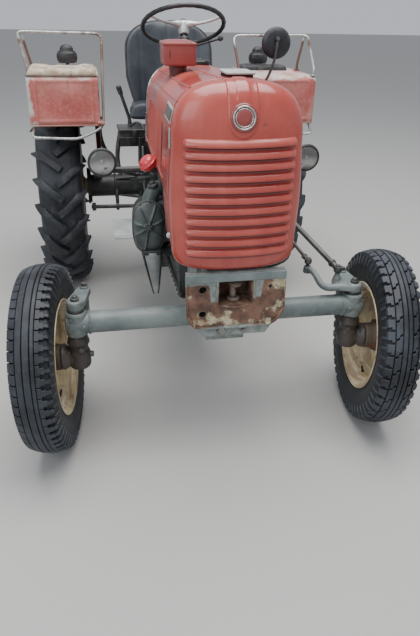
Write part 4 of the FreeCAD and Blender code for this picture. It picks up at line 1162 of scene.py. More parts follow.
def lug(shift, side_of_tread, rolling_way):
    """Bar from the middle of the tread down over the shoulder, with sloping flanks."""
    t = np.linspace(0, len(LUG_WAY) - 1, 22)
    way = np.stack([np.interp(t, np.arange(len(LUG_WAY)), column) for column in LUG_WAY.T], 1)
    x, along, top, base, half = way.T
    slope = unit(np.stack([np.gradient(x), np.gradient(along)], 1))
    rows = []
    for width, level in ((-1.25, base), (-1.0, top - 2), (-0.86, top), (0.86, top), (1.0, top - 2), (1.25, base)):
        across = x - slope[:, 1] * half * width
        back = along + slope[:, 0] * half * width
        rows.append(on_wheel(side_of_tread * across, -rolling_way * (back + shift), level, REAR_RADIUS))
    return grid(np.stack(rows, 1), round_columns=True, capped=True)


def rear_tread(side):
    pitch = 2 * np.pi * REAR_RADIUS / LUG_COUNT
    return [lug(k * pitch + (half * pitch / 2), 1 if half == 0 else -1, -side) for k in range(LUG_COUNT) for half in (0, 1)]


REAR_RIM_RING = [
    (-100, 374), (-105, 372), (-105, 364), (-99, 358), (-98, 352), (-88, 348), (-52, 346), (-38, 328), (22, 328),
    (36, 346), (88, 348), (98, 352), (99, 358), (105, 364), (105, 372), (100, 374), (101, 366), (95.5, 358), (94.5, 350),
    (86, 344), (38, 342), (25, 324), (-41, 324), (-54, 342), (-86, 344), (-94.5, 350), (-95.5, 358), (-101, 366),
]
REAR_DISC = [(-34, 326), (-40, 312), (-52, 290), (-66, 262), (-76, 236), (-80, 210), (-76, 180), (-68, 150), (-74, 120),
             (-82, 108), (-82, 60), (-88, 60), (-88, 112), (-80, 124), (-74, 150), (-82, 182), (-86, 212), (-82, 240),
             (-72, 266), (-58, 294), (-46, 316), (-38, 328)]


def make_rear_wheel(side, word):
    body = "rear_wheel_" + word
    place = REAR_WHEEL[side]
    piece("rear_tyre_carcass_" + word, rear_carcass(), REAR_RUBBER, body, place, ("rear_tyre_" + word,), sharp=50)
    piece("rear_tyre_lugs_" + word, rear_tread(side), REAR_RUBBER, body, place, sharp=40)
    rim = [lathe(round_section(REAR_RIM_RING, 5, True), 120, ring=True),
           lathe(round_section(REAR_DISC, 9, True), 120, ring=True)]
    piece("rear_rim_%s_shell" % word, rim, CREAM, body, place, ("rear_rim_" + word,))
    hub = lathe(round_section([(-188, 24), (-188, 44), (-172, 46), (-120, 44), (-112, 90), (-100, 96), (-90, 98), (-78, 98),
                               (-78, 60), (-62, 58), (-54, 50), (-50, 30), (-49, 0)], 4), 64)
    piece("rear_hub_" + word, hub, CREAM, body, place)
    studs = ring_of(6, 82, lambda y, z: bolt((-80, y, z), (1, 0, 0), 12, 13), 12)
    piece("rear_wheel_%s_nuts" % word, studs, RUSTY, body, place)
    cap = lathe(round_section([(-84, 0), (-84, 40), (-48, 38), (-36, 30), (-32, 12), (-31, 0)], 5), 48)
    piece("rear_hub_%s_cap" % word, cap, HUB_DIRT, body, place)
    lips = ring_of(6, 212, lambda y, z: [lathe([(-84, 23), (-74, 23), (-70, 25), (-72, 29), (-84, 31)], 28, (0, y, z))], 42)
    piece("rear_rim_%s_hole_lips" % word, lips, CREAM, body, place)
    # Near-black discs in the rim's holes: painted shade seen through them.
    holes = ring_of(6, 212, lambda y, z: [lathe([(-74.5, 24), (-74.5, 0)], 28, (0, y, z))], 42)
    piece("rear_rim_%s_holes" % word, holes, SHADE_BLACK, body, place)
    clamps = ring_of(8, 318, lambda y, z: bolt((-42, y, z), (1, 0, 0), 11, 10), 8)
    piece("rear_rim_%s_bolts" % word, clamps, RUSTY, body, place)


for wheel_side, wheel_word in SIDES:
    make_front_wheel(wheel_side, wheel_word)
    make_rear_wheel(wheel_side, wheel_word)


# CAD nodes that stay in sight get the finishes made above

def dress(paint, names, bevel=0.0):
    for name in names:
        node = frame["nodes"][name]
        for entry in node.material_slots:
            entry.material = paint.material
        if bevel:
            edge = node.modifiers.new("Edge", "BEVEL")
            edge.width = bevel * MILLIMETRE
            edge.segments = 2
            edge.limit_method = "ANGLE"
            edge.angle_limit = math.radians(40)


# Front plate, axle and steering

PLATE_FRONT = -234.0


def make_front_plate():
    dress(PLATE, ["front_bolster"], 2.0)
    dress(PIN_RUST, ["tow_pin"])
    ledge = [block((-171, 171), (PLATE_FRONT - 5, PLATE_FRONT + 6), (733, 763), 4)]
    piece("plate_ledge", ledge, GREY)
    lip = [(-161, 612), (-146, 580), (-128, 566), (0, 562), (126, 567), (150, 584), (169, 622)]
    lip = [(x, PLATE_FRONT - 2, z) for x, z in lip]
    frame_edges = [bar(lip, 5.5, 26, 8), bar([(-163, PLATE_FRONT - 1, 612), (-167, PLATE_FRONT - 1, 735)], 4, 5, 8),
                   bar([(170, PLATE_FRONT - 1, 622), (167, PLATE_FRONT - 1, 735)], 4, 5, 8)]
    ridge = [(-62, PLATE_FRONT - 2, 745), (-64, PLATE_FRONT - 3, 700), (-62, PLATE_FRONT - 2, 652)]
    frame_edges.append(bar(ridge, [3, 6, 3], 10, 8))
    ridge = [(-50, PLATE_FRONT - 1, 645), (0, PLATE_FRONT - 4, 638), (48, PLATE_FRONT - 1, 645)]
    frame_edges.append(bar(ridge, [2.5, 5, 2.5], 14, 8))
    ridge = [(62, PLATE_FRONT - 1, 742), (62, PLATE_FRONT - 2, 660)]
    frame_edges.append(bar(ridge, [2.5, 4, 2.5], 10, 8))
    piece("plate_edges", frame_edges, PLATE)
    hollow = [(0.4, 0), (0.4, 13.4), (0, 14.6)]
    holes = [lathe([(0, radius - 0.5), (0.6, radius + 1.5), (2.2, radius + 1.0), (2.2, radius - 0.8)], 32, (x, PLATE_FRONT, z),
                   (0, -1, 0)) for x, z, radius in ((-112, 707, 14), (-112, 618, 13), (118, 708, 7), (112, 625, 12))]
    piece("plate_hole_edges", holes, PIN_RUST)
    # Near-black floors inside the plate's holes: painted shade in them.
    floors = [lathe([(h * 1.0, r) for h, r in hollow], 24, (x, PLATE_FRONT + deep, z), (0, -1, 0))
              for x, z, deep in ((-112, 707, 12), (-112, 618, 12))]
    piece("plate_hole_floors", floors, SHADE_BLACK)
    head = lathe([(-6, 0), (-6, 20), (0, 25), (5, 26), (9, 22), (11, 12), (12, 0)], 28, (2, -200, 713), (0.1, -0.3, 1))
    collar = lathe([(0, 14), (0, 22), (7, 23), (10, 18), (10, 12)], 28, (0, -198, 652), (0, 0, 1), True)
    piece("tow_pin_head", [head, collar], PIN_RUST, sharp=50)
    chin = bolt((-46, PLATE_FRONT - 1, 552), (0, -1, 0), 14, 10) + bolt((30, PLATE_FRONT - 1, 548), (0, -1, 0), 6, 5)
    piece("plate_chin_bolts", chin, STEEL)


def make_axle():
    half = [(0, 46), (66, 46), (76, 44), (84, 40), (480, 41), (560, 41), (574, 34), (578, 0)]
    tube = lathe(round_section([(-along, radius) for along, radius in half[:0:-1]] + half[1:], 5), 48, (0, 0, 498))
    bosses = []
    for side, _ in SIDES:
        outline = [(451, 20), (451, 36), (456, 40), (538, 40), (545, 37), (546, 34), (546, 20)]
        bosses.append(lathe(round_section(outline, 2), 48, (side * 535, 0, 0), (0, 0, 1)))
        weld = arc(0, 0, 4.2, 0, 360, 8)[:-1]
        turn = np.linspace(0, 2 * np.pi, 60, endpoint=False)
        path = np.stack([side * (489 + 2 * np.cos(4 * turn)), 41 * np.cos(turn), 498 + 41 * np.sin(turn)], 1)
        bosses.append(sweep(path, weld, True, 1 + 0.18 * np.sin(15 * turn)))
        bosses += bolt((side * 535 - side * 26, -40, 500), (0, -1, 0), 6, 9)
    pivot = [block((-64, 64), (-59, 59), (456, 543), 10, 4)]
    piece("axle_beam", [tube] + bosses + pivot, GREY, replaces=("front_axle_tube",), sharp=40)
    stub = lathe([(-104, 20), (100, 20)], 32, (0, 0, 498), (0, 1, 0))
    nipples = [lathe([(0, 6), (5, 6), (6, 4), (10, 4), (12, 5), (14, 3), (15, 0)], 10, (side * 535 + side * 20, -42, 530),
                     (0, -1, 0)) for side, _ in SIDES]
    piece("axle_pivot_pin", [stub] + nipples, WEATHERED)


LEAN = math.radians(2.5)
HUB_HEIGHT = 352 * math.cos(LEAN) + 20 * math.sin(LEAN)
SPINDLE_HEIGHT = HUB_HEIGHT + 107 * math.sin(LEAN)
LEFT_ARM = [(0, -34), (34, 0), (6, 128), (-2, 138), (-34, 138), (-42, 122), (-44, 60), (-60, 62), (-79, 50), (-79, 34),
            (-60, 22), (-40, 10), (-80, 4), (-80, -20), (-40, -26)]
RIGHT_ARM = [(0, -34), (-34, 0), (-6, 128), (2, 138), (34, 138), (42, 122), (36, 0)]


def forged_arm(outline):
    """Arm with eased edges: the outline draws in a little at its lower and upper face."""
    outline = rounded(outline, 13, 4, True)
    middle = outline.mean(0)
    rows = []
    for inset, z in ((3, 562), (0, 565), (0, 580), (3, 584)):
        drawn = outline + unit(middle - outline) * inset
        rows.append(np.column_stack([drawn, np.full(len(drawn), z)]))
    return grid(np.stack(rows), round_columns=True, capped=True)


def make_knuckle(side, word, outline):
    body = word + "_knuckle"
    place = KNUCKLE[side]
    out = (side * math.cos(LEAN), 0, -math.sin(LEAN))
    pin = lathe([(380, 17), (560, 17)], 24, (0, 0, 0), (0, 0, 1))
    head = lathe(round_section([(558, 20), (558, 32), (578, 31), (585, 29), (589, 25), (589, 0)], 3), 40, (0, 0, 0), (0, 0, 1))
    piece("knuckle_%s_arm" % word, [forged_arm(outline), head, pin], GREY, body, place, ("knuckle_" + word,), sharp=40)
    drop = lathe(round_section([(449, 0), (449, 34), (440, 36), (428, 40), (418, 42), (412, 36), (392, 34), (384, 40), (330, 42), (318, 38),
                                (311, 26), (309, 0)], 5), 40, (0, 0, 0), (0, 0, 1))
    spindle = lathe(round_section([(10, 0), (10, 38), (34, 36), (44, 44), (56, 50), (62, 50), (64, 28), (150, 21)], 3), 40,
                    (0, 0, SPINDLE_HEIGHT), out)
    tie_arm = lathe(round_section([(437, 0), (437, 17), (446, 20), (470, 15), (540, 14), (566, 19), (590, 17), (594, 12), (594, 0)],
                                  4), 28, (-side * 18, 120, 0), (0, 0, 1))
    web = bar([(0, 20, 395), (-side * 10, 66, 440)], [15, 10], 10, 10)
    piece("knuckle_%s_drop" % word, [drop, spindle, tie_arm, web], GREY, body, place, sharp=40)
    neck = lathe([(547, 17), (547, 29), (553, 31), (559, 29)], 28, (0, 0, 0), (0, 0, 1))
    nut = lathe([(588, 17), (599, 17), (600, 15), (600, 0)], 6, (0, 0, 0), (0, 0, 1))
    tip = lathe([(598, 10), (606, 10), (608, 8), (608, 0)], 20, (0, 0, 0), (0, 0, 1))
    clamps = bolt((-side * 14, -38, 404), (0, -1, 0), 9, 9) + bolt((-side * 40, 0, 366), (-side, 0, 0), 11, 12)
    clamps += bolt((-side * 18, 120, 593), (0, 0, 1), 11, 11)
    piece("knuckle_%s_nuts" % word, [neck, nut, tip] + clamps, WEATHERED, body, place)


def ball_joint(spot, up=(0, 0, 1), size=1.0):
    """Housing of a ball joint with its cap."""
    outline = np.array([(-16, 0), (-16, 9), (-12, 14), (-5, 17), (6, 17.5), (12, 15), (13, 11), (17, 10), (18, 6), (18, 0)])
    return lathe(outline * size, 24, spot, up)


def boot(spot, up=(0, 0, 1), size=1.0):
    outline = np.array([(-30, 7), (-29, 10), (-26, 9), (-22, 13), (-18, 14), (-14, 15), (-13, 12)])
    return lathe(outline * size, 20, spot, up)


def rod_between(front, rear, radius):
    """Rod with a lock nut and a thicker threaded end at both ends."""
    front, rear = np.asarray(front, float), np.asarray(rear, float)
    way = rear - front
    total = np.linalg.norm(way)
    outline = [(8, radius + 1), (34, radius + 1.5), (35, radius + 5), (44, radius + 5), (45, radius), (total - 45, radius),
               (total - 44, radius + 5), (total - 35, radius + 5), (total - 34, radius + 1.5), (total - 8, radius + 1)]
    return lathe(outline, 16, front, way)


DRAG_REAR = (266, 700, 846)
LINK_REAR = (340, 700, 706)


def make_steering_rods():
    drag = on_chassis(KNUCKLE[1], (-60, 42, 628))
    link = on_chassis(KNUCKLE[1], (-172, 81, 647))
    piece("drag_link_rod", [rod_between(drag, DRAG_REAR, 11), ball_joint(drag), ball_joint(DRAG_REAR, (1, 0, 0), 0.95)],
          WEATHERED, "drag_link", replaces=("drag_link",))
    piece("steering_link_rod", [rod_between(link, LINK_REAR, 7), ball_joint(link, size=0.85),
                                ball_joint(LINK_REAR, (1, 0, 0), 0.7)], STEEL, "steering_link",
          replaces=("steering_link",))
    branch = [bar([(-50, -8, 573), (-128, -14, 573), (-152, 40, 613), (-172, 81, 618)], [15, 13, 12, 12], 30, 14),
              lathe([(598, 0), (598, 14), (602, 17), (624, 15), (628, 9), (628, 0)], 24, (-172, 81, 0), (0, 0, 1)),
              lathe([(560, 17), (588, 17), (600, 13), (606, 10), (612, 10)], 24, (-60, 42, 0), (0, 0, 1))]
    piece("knuckle_left_branches", branch, GREY, "left_knuckle", KNUCKLE[1])
    boots = [boot((-60, 42, 628), size=0.75), boot((-172, 81, 647), size=0.62)]
    piece("steering_boots", boots, SEAM_RUBBER, "left_knuckle", KNUCKLE[1])
    left = on_chassis(KNUCKLE[1], (-18, 120, 415))
    right = on_chassis(KNUCKLE[-1], (18, 120, 415))
    piece("tie_rod_bar", [rod_between(right, left, 12), ball_joint(right, size=1.1), ball_joint(left, (0, 0, 1), 1.1)],
          RUSTY, "tie_rod", replaces=("tie_rod",))
    dress(BLACK, ["drop_arm"], 3.0)
    cap = bolt((246, 700, 927), (1, 0, 0), 17, 12)
    studs = [lathe([(-20, 0), (-20, 7), (-8, 7), (-4, 5), (-4, 0)], 20, rod_end, (1, 0, 0)) for rod_end in (DRAG_REAR, LINK_REAR)]
    piece("drop_arm_nut", cap + studs, RUSTY, "drop_arm")


make_front_plate()
make_axle()
make_knuckle(1, "left", LEFT_ARM)
make_knuckle(-1, "right", RIGHT_ARM)
make_steering_rods()


# Lamps, horn and mirror

def make_headlight(side, word):
    middle = np.array((side * 402, 300, 1006))
    back = (0, 1, 0)
    bowl = lathe(round_section([(1, 46), (-1, 50), (2, 54), (9, 54), (11, 50), (14, 49.5), (32, 46), (52, 38), (70, 27), (84, 14),
                                (90, 0)], 3), 56, middle, back)
    arm = bar([(side * 134, 345, 968), (side * 392, 345, 968)], 12, 5, 16)
    clamp = [block(sorted((side * 372, side * 396)), (328, 362), (952, 986), 5), bar([(side * 384, 345, 968),
                                                                                    (side * 392, 348, 985)], 10, 5)]
    base = lathe([(0, 0), (0, 30), (8, 30), (10, 24), (12, 13)], 24, (side * 128, 345, 968), (side, 0, 0))
    piece("headlight_%s_bowl" % word, [bowl, arm, base] + clamp, BLACK, replaces=("headlight_" + word,), sharp=40)
    rim = lathe(arc(0, 47.5, 2.2, 0, 360, 10)[:-1], 64, middle, back, True)
    piece("headlight_%s_rim" % word, rim, SEAM_RUBBER)
    depth = np.linspace(0, 1, 12)
    reflector = lathe(np.stack([4 + 42 * (1 - depth ** 2), 46.5 * depth], 1), 48, middle, back)
    piece("headlight_%s_reflector" % word, reflector, SILVER)
    dome = np.linspace(0, np.pi / 2, 9)
    glass = lathe(np.stack([3 - 11 * np.cos(dome), 46.8 * np.sin(dome)], 1), 48, middle, back)
    piece("headlight_%s_glass" % word, glass, GLASS)
    bulb = lathe([(46, 9), (30, 8), (26, 5), (20, 7), (14, 7), (10, 4), (9, 0)], 16, middle, back)
    piece("headlight_%s_bulb" % word, bulb, PALE_PLATE)
    stem = bolt((side * 384, 328, 969), (0, -1, 0), 7, 7) + bolt((side * 384, 345, 986), (0, 0, 1), 6, 6)
    piece("headlight_%s_bolts" % word, stem, RUSTY)
    cable = bar([(side * 402, 388, 1004), (side * 396, 402, 975), (side * 360, 372, 958), (side * 250, 362, 952),
                 (side * 150, 372, 960)], 3.4, 30, 8)
    piece("headlight_%s_cable" % word, cable, SEAM_RUBBER)


def make_horn():
    centre = np.array((-231, 294, 1003))
    facing = unit(np.array((-0.62, -0.10, 0.78)))
    shell = lathe(round_section([(-29, 0), (-27, 15), (-17, 30), (-4, 35), (-2.5, 38), (2.5, 38), (4, 35), (15, 31), (23, 23),
                                 (27, 11), (27.5, 0)], 3), 48, centre, facing)
    piece("horn_shell", shell, HORN_RED, replaces=("horn",), sharp=50)
    screws = []
    other = unit(np.cross(facing, (0, 0, 1)))
    upward = np.cross(other, facing)
    for k in range(6):
        angle = math.radians(60 * k + 20)
        spot = centre + 36 * (math.cos(angle) * other + math.sin(angle) * upward) + 2 * facing
        screws += bolt(spot, facing, 2.2, 1.6)
    screws += bolt(centre + 21 * facing, facing, 6, 4)
    piece("horn_screws", screws, RUSTY)
    bracket = [block((-243, -225), (316, 322), (962, 1006), 2.5), block((-246, -222), (328, 362), (953, 983), 4),
               block((-243, -225), (318, 350), (968, 975), 2)]
    piece("horn_bracket", bracket, BLACK)


def make_mirror():
    disc = lathe(round_section([(0, 58), (-1.5, 61), (0, 63.5), (6, 63.5), (12, 60), (18, 48), (21, 30), (22, 0)], 2.5), 64,
                 (371, 722, 1400), (0, -1, 0))
    stalk = bar([(130, 817, 1150), (240, 817, 1150), (342, 745, 1240), (362, 694, 1330), (370, 690, 1422)], 6.0, 40, 14)
    joint = lathe([(-8, 0), (-8, 9), (-4, 12), (4, 12), (8, 9), (8, 0)], 20, (370, 694, 1416), (0, -1, 0.1))
    piece("mirror_shell", [disc, joint], MIRROR_SHELL, replaces=("mirror",), sharp=40)
    piece("mirror_stalk", stalk, WEATHERED)
    piece("mirror_glass", lathe([(0, 59), (1.0, 57), (0.6, 0)], 64, (371, 722, 1400), (0, 1, 0)), CHROME)
    piece("mirror_nut", bolt((370, 686, 1416), (0, -1, 0.1), 6, 4), WEATHERED)


for lamp_side, lamp_word in SIDES:
    make_headlight(lamp_side, lamp_word)
make_horn()
make_mirror()


# Fenders with their rails, cushions and lamps

FENDER_IN = 380.0
FENDER_OUT = 716.0
FENDER_FRONT = 1112.0
FENDER_TOP = 1229.0
FENDER_FOOT = 1002.0
FENDER_LINE = [(FENDER_FRONT + 2, FENDER_FOOT), (FENDER_FRONT + 2, FENDER_TOP), (1560, FENDER_TOP), (1900, 1175), (2110, 1030),
               (2188, 852)]


def fender_sheet(side):
    """Sheet bent over the wheel: a softened line from the front foot to the rear edge, carried across,
    with its outer edge rolled down in a quarter circle."""
    line = rounded(FENDER_LINE, 24, 6)
    along = np.concatenate([[0], np.cumsum(np.linalg.norm(np.diff(line, axis=0), axis=1))])
    steps = np.concatenate([np.linspace(0, along[12], 100), np.linspace(along[12], along[-1], 60)[1:]])
    line = np.stack([np.interp(steps, along, line[:, 0]), np.interp(steps, along, line[:, 1])], 1)
    tangent = unit(np.gradient(line, axis=0))
    inward = np.stack([tangent[:, 1], -tangent[:, 0]], 1)
    roll = np.linspace(0, np.pi / 2, 6)
    edge_x = FENDER_OUT - 9 + 9 * np.sin(roll)
    edge_sink = 9 * (1 - np.cos(roll))
    x = np.concatenate([np.linspace(FENDER_IN + 1, FENDER_OUT - 10, 130), edge_x, [FENDER_OUT]])
    sink = np.concatenate([np.zeros(130), edge_sink, [30]])
    points = np.zeros((len(line), len(x), 3))
    points[:, :, 0] = side * x
    points[:, :, 1:] = line[:, None] + sink[None, :, None] * inward[:, None]
    low, high = FENDER_FOOT + 20, FENDER_TOP - 22
    ridge = 0
    front = np.clip((FENDER_FRONT + 12 - points[:, :, 1]) / 10, 0, 1)
    for coordinate, start, end in ((np.abs(points[:, :, 0]), FENDER_IN + 32, FENDER_OUT - 40), (points[:, :, 2], low, high)):
        other = points[:, :, 2] if start > 200 and end < 900 else np.abs(points[:, :, 0])
        other_span = (low, high) if end < 900 else (FENDER_IN + 32, FENDER_OUT - 40)
        inside = (other > other_span[0] - 4) & (other < other_span[1] + 4)
        for place_of in (start, end):
            ridge = np.maximum(ridge, inside * np.exp(-((coordinate - place_of) / 4.5) ** 2))
    points[:, :, 1] -= 4.2 * ridge * front
    dent = np.exp(-((np.abs(points[:, :, 0]) - 575) / 60) ** 2 - ((points[:, :, 2] - 1120) / 50) ** 2)
    points[:, :, 1] += (4 * dent + 2.0 * np.sin(points[:, :, 0] / 37.0) * np.sin(points[:, :, 2] / 29.0)) * front
    return grid(points)


def fender_side(side):
    """Inner side sheet, with round corners and an edge turned in."""
    outline = [(FENDER_FRONT + 3, FENDER_FOOT), (FENDER_FRONT + 3, FENDER_TOP - 4), (1559, FENDER_TOP - 4), (1898, 1171),
               (2107, 1026), (2186, 850), (1950, 800), (1800, 700), (1700, 640), (1620, 640), (1500, 700), (1300, 860)]
    outline = rounded(outline, 30, 4, True)
    return slab(outline, side * FENDER_IN, side * (FENDER_IN + 3.5), "YZ")


def cushion(x_span, y_span, foot, height, sag, roll):
    """Padded bag: a rounded-square plan swollen by the fourth root of a quarter circle, its middle sagging,
    with a roll of cover hanging over its front edge."""
    (x0, x1), (y0, y1) = x_span, y_span
    u, v = np.meshgrid(np.linspace(-1, 1, 41), np.linspace(-1, 1, 29), indexing="ij")
    plump = ((1 - u ** 8) * (1 - v ** 6)).clip(0) ** 0.33
    wave = 1.8 * np.sin(9 * u + 2 * v) + 1.2 * np.sin(17 * u - 5 * v + 1)
    top = foot + plump * (height - sag * (1 - u ** 2) + wave)
    y = (y0 + y1) / 2 + v * (y1 - y0) / 2 - roll * np.clip(-v, 0, 1) ** 6 * plump
    x = (x0 + x1) / 2 + u * (x1 - x0) / 2
    upper = np.stack([x, y, top], -1)
    lower = np.stack([x, y, foot - 0.4 * roll * np.clip(-v, 0, 1) ** 8 + 0 * x], -1)
    return [grid(upper), grid(lower[::-1])]


def make_fender(side, word):
    piece("fender_%s_sheet" % word, fender_sheet(side), FENDER_RED, replaces=("fender_" + word,), wall=3.0, sharp=60)
    hem = []
    foot_line = [(side * (FENDER_IN + 4), FENDER_FRONT - 2, FENDER_FOOT + 1), (side * (FENDER_OUT - 6), FENDER_FRONT - 2,
                                                                             FENDER_FOOT + 1)]
    hem.append(bar(foot_line, 4.0, 5, 10))
    rear_line = [(side * (FENDER_IN + 4), 2186, 853), (side * (FENDER_OUT - 6), 2186, 853)]
    hem.append(bar(rear_line, 4.0, 5, 10))
    inner = [(side * (FENDER_IN + 2), y, z) for y, z in FENDER_LINE[1:]]
    hem.append(bar(inner, 4.0, 22, 8))
    piece("fender_%s_hems" % word, hem, FENDER_RED)
    # Inner sheet and braces in very dark red: painted shade inside the fender.
    brace = [block(sorted((side * FENDER_IN, side * (FENDER_IN + 50))), (1622, 1698), (638, 650), 3),
             bar([(side * 392, 1640, 648), (side * 392, 1500, 900), (side * 392, 1300, 1120)], 9, 30, 8),
             bar([(side * 392, 1690, 648), (side * 392, 1850, 900), (side * 392, 1960, 1080)], 9, 30, 8)]
    piece("fender_%s_inner" % word, [fender_side(side)] + brace, SHADE_RED, sharp=40)
    rivets = []
    for y, z in [(1300, 1215), (1450, 1215), (1600, 1206), (1780, 1180), (1950, 1120)]:
        rivets += bolt((side * FENDER_IN, y, z), (-side, 0, 0), 5, 4)
    for x in (430, 548, 666):
        rivets += bolt((side * x, 1485, FENDER_TOP), (0, 0, 1), 5, 4)
    piece("fender_%s_bolts" % word, rivets, RUSTY)


def make_rail(side, word):
    front = FENDER_FRONT - 10.3
    way = [(690, FENDER_FRONT + 9, 1016), (700, FENDER_FRONT + 6, 990), (712, front, 950), (490, front, 940), (368, front, 994),
           (344, 1422, 1399), (758, 1422, 1405), (704, 1134, 1262), (702, 1132, 1228)]
    way = [(side * x, y, z) for x, y, z in way]
    rear = [(side * x, y, z) for x, y, z in ((740, 1424, 1404), (704, 1404, 1262), (704, 1402, 1228))]
    feet = [lathe([(0, 0), (0, 17), (3, 17), (5, 11), (9, 10)], 20, (side * x, y, FENDER_TOP), (0, 0, 1))
            for x, y in ((702, 1132), (704, 1402))]
    piece("rail_%s_tube" % word, [bar(way, 6.8, 40, 14), bar(rear, 6.6, 14, 12)] + feet, ZINC, replaces=("fender_rail_" + word,),
          sharp=40)
    clamps = [block(sorted((side * (x - 10), side * (x + 10))), (front - 2, FENDER_FRONT + 3), (z - 7, z + 7), 3)
              for x, z in ((371, 1012), (384, 1016))]
    piece("rail_%s_clamps" % word, clamps, FENDER_RED)


def make_fender_lamp(side):
    middle = np.array((side * 527, 1570, 1289))
    body = lathe(round_section([(-40, 0), (-40, 44), (-32, 51), (-10, 55), (8, 52), (15, 46), (17, 37), (33, 35), (44, 27),
                                (50, 13), (51.5, 0)], 4), 48, (0, 0, 0), (0, 0, 1))
    body.points = body.points * (1, 0.62, 1) + middle
    stalk = lathe([(FENDER_TOP, 14), (FENDER_TOP + 5, 12), (FENDER_TOP + 8, 9), (1252, 9)], 20, (side * 527, 1570, 0), (0, 0, 1))
    ring = lathe(arc(0, 0, 2.2, 0, 360, 8)[:-1] + (16, 44), 48, (0, 0, 0), (0, 0, 1), True)
    ring.points = ring.points * (1, 0.62, 1) + middle
    return [body, stalk, ring]


for fender_side_sign, fender_word in SIDES:
    make_fender(fender_side_sign, fender_word)
    make_rail(fender_side_sign, fender_word)
piece("fender_lamp_bodies", make_fender_lamp(1) + make_fender_lamp(-1), PLASTIC, replaces=("fender_lamps",), sharp=50)
lamp_glasses = []
for lamp_side, _ in SIDES:
    lens = lathe([(0, 30), (5, 27), (8, 17), (9, 0)], 32, (lamp_side * 527, 1601, 1282), (0, 1, 0))
    lamp_glasses.append(lens)
piece("fender_lamp_lenses", lamp_glasses, HORN_RED)
beige = piece("cushion_right_cover", cushion((-712, -384), (1116, 1392), FENDER_TOP + 1, 40, 13, 14), BEIGE_COVER,
              replaces=("fender_cushion_right",), smooth=1, sharp=80)
dark = piece("cushion_left_cover", cushion((394, 652), (1408, 1528), FENDER_TOP + 1, 27, 2, 2), DARK_COVER,
             replaces=("fender_cushion_left",), smooth=1, sharp=80)


# Driver's place: seat, steering wheel, dash and levers

def on_square(angle, power=4.0):
    return on_curve(angle, power)


def seat_shell():
    """Back of the seat, seen from above a shallow shell: its front view is a superellipse that is widest above the
    middle, and its sides curl forward with the square of the distance from the middle."""
    low, high = 1060.0, 1462.0
    t = np.sin(np.linspace(0, np.pi / 2, 44))
    z = low + (high - low) * t
    rounding = (1 - np.clip((t - 0.62) / 0.38, 0, 1) ** 2.6).clip(0) ** 0.42
    half = 226 * rounding * (0.80 + 0.20 * np.clip(t / 0.35, 0, 1) ** 0.7)
    u = np.linspace(-1, 1, 49)
    x = half[:, None] * u
    lean = 1462 + 62 * t
    curl = 120 * np.abs(u) ** 2.6
    pad = 42 * ((1 - np.abs(u) ** 5) ** 0.5)[None, :] * ((1 - (2 * t - 1) ** 8).clip(0) ** 0.4)[:, None]
    seam = 5 * np.exp(-(x / 5) ** 2) + 5 * np.exp(-((np.abs(x) - 150) / 5) ** 2)
    middle = lean[:, None] - curl[None, :] * (rounding * (1 - 0.5 * t))[:, None]
    front = np.stack([x, middle - pad + seam, np.broadcast_to(z[:, None], x.shape)], -1)
    back = np.stack([x, middle + 0.55 * pad + 6, np.broadcast_to(z[:, None], x.shape)], -1)
    return front, back


def seat_pan():
    """Seat cushion: rounded-square plan, plump in front and dished in the middle."""
    u, v = np.meshgrid(np.linspace(-1, 1, 45), np.linspace(-1, 1, 33), indexing="ij")
    plump = ((1 - u ** 6) * (1 - v ** 8)).clip(0) ** 0.3
    x = 218 * u * (1 - 0.06 * v)
    y = 1352 + 128 * v
    dish = 14 * (1 - u ** 2) * np.exp(-((v - 0.2) / 0.6) ** 2)
    seam = 4 * np.exp(-((np.abs(u) - 0.62) / 0.02) ** 2)
    top = 1024 + 70 * plump - dish - seam
    bottom = 1022 - 18 * plump
    return [grid(np.stack([x, y, top], -1)), grid(np.stack([x, y, bottom], -1)[::-1])]


def make_seat():
    front, back = seat_shell()
    shell = [grid(front), grid(back[::-1])]
    rim = [grid(np.stack([front[:, 0], back[:, 0]])), grid(np.stack([back[:, -1], front[:, -1]])),
           grid(np.stack([back[0], front[0]])), grid(np.stack([front[-1], back[-1]]))]
    cover = piece("seat_back_cover", shell + rim, VINYL, replaces=("driver_seat",), smooth=1, sharp=70)
    pan = piece("seat_pan_cover", seat_pan(), VINYL, smooth=1, sharp=70)
    edge = np.concatenate([front[:, 0], front[::-1, -1]])
    apart = np.concatenate([[True], np.linalg.norm(np.diff(edge, axis=0), axis=1) > 1.0])
    circle = arc(0, 0, 4.0, 0, 360, 8)[:-1]
    piping = [sweep(edge[apart] + (0, -3, 0), circle)]
    ring = np.linspace(0, 2 * np.pi, 80, endpoint=False)
    a, b = on_curve(ring, 5.0)
    piping.append(sweep(np.stack([216 * a * (1 - 0.06 * b), 1352 + 127 * b, 1042 + 0 * a], 1), circle * 0.9, True))
    piece("seat_piping", piping, DARK_COVER)
    frame_tubes = [bar([(side * 150, 1520, 1200), (side * 150, 1500, 1060), (side * 140, 1440, 1008), (side * 120, 1280, 1000)],
                       10, 40, 12) for side, _ in SIDES]
    piece("seat_frame", frame_tubes, BLACK)
    dress(BLACK, ["seat_bracket"], 3.0)
    springs = []
    for side, _ in SIDES:
        turn = np.linspace(0, 2 * np.pi * 5, 160)
        coil = np.stack([side * 62 + 22 * np.cos(turn), 1420 + 22 * np.sin(turn), 900 + 76 * turn / turn[-1]], 1)
        springs.append(sweep(coil, arc(0, 0, 4.5, 0, 360, 8)[:-1]))
    piece("seat_springs", springs, RUSTY)


def wheel_axes():
    joint = JOINTS["steering_wheel_turn"]
    up = unit(joint["axis"])
    return Place(joint["pos_m"], [(1, 0, 0), np.cross(up, (1, 0, 0)), up])


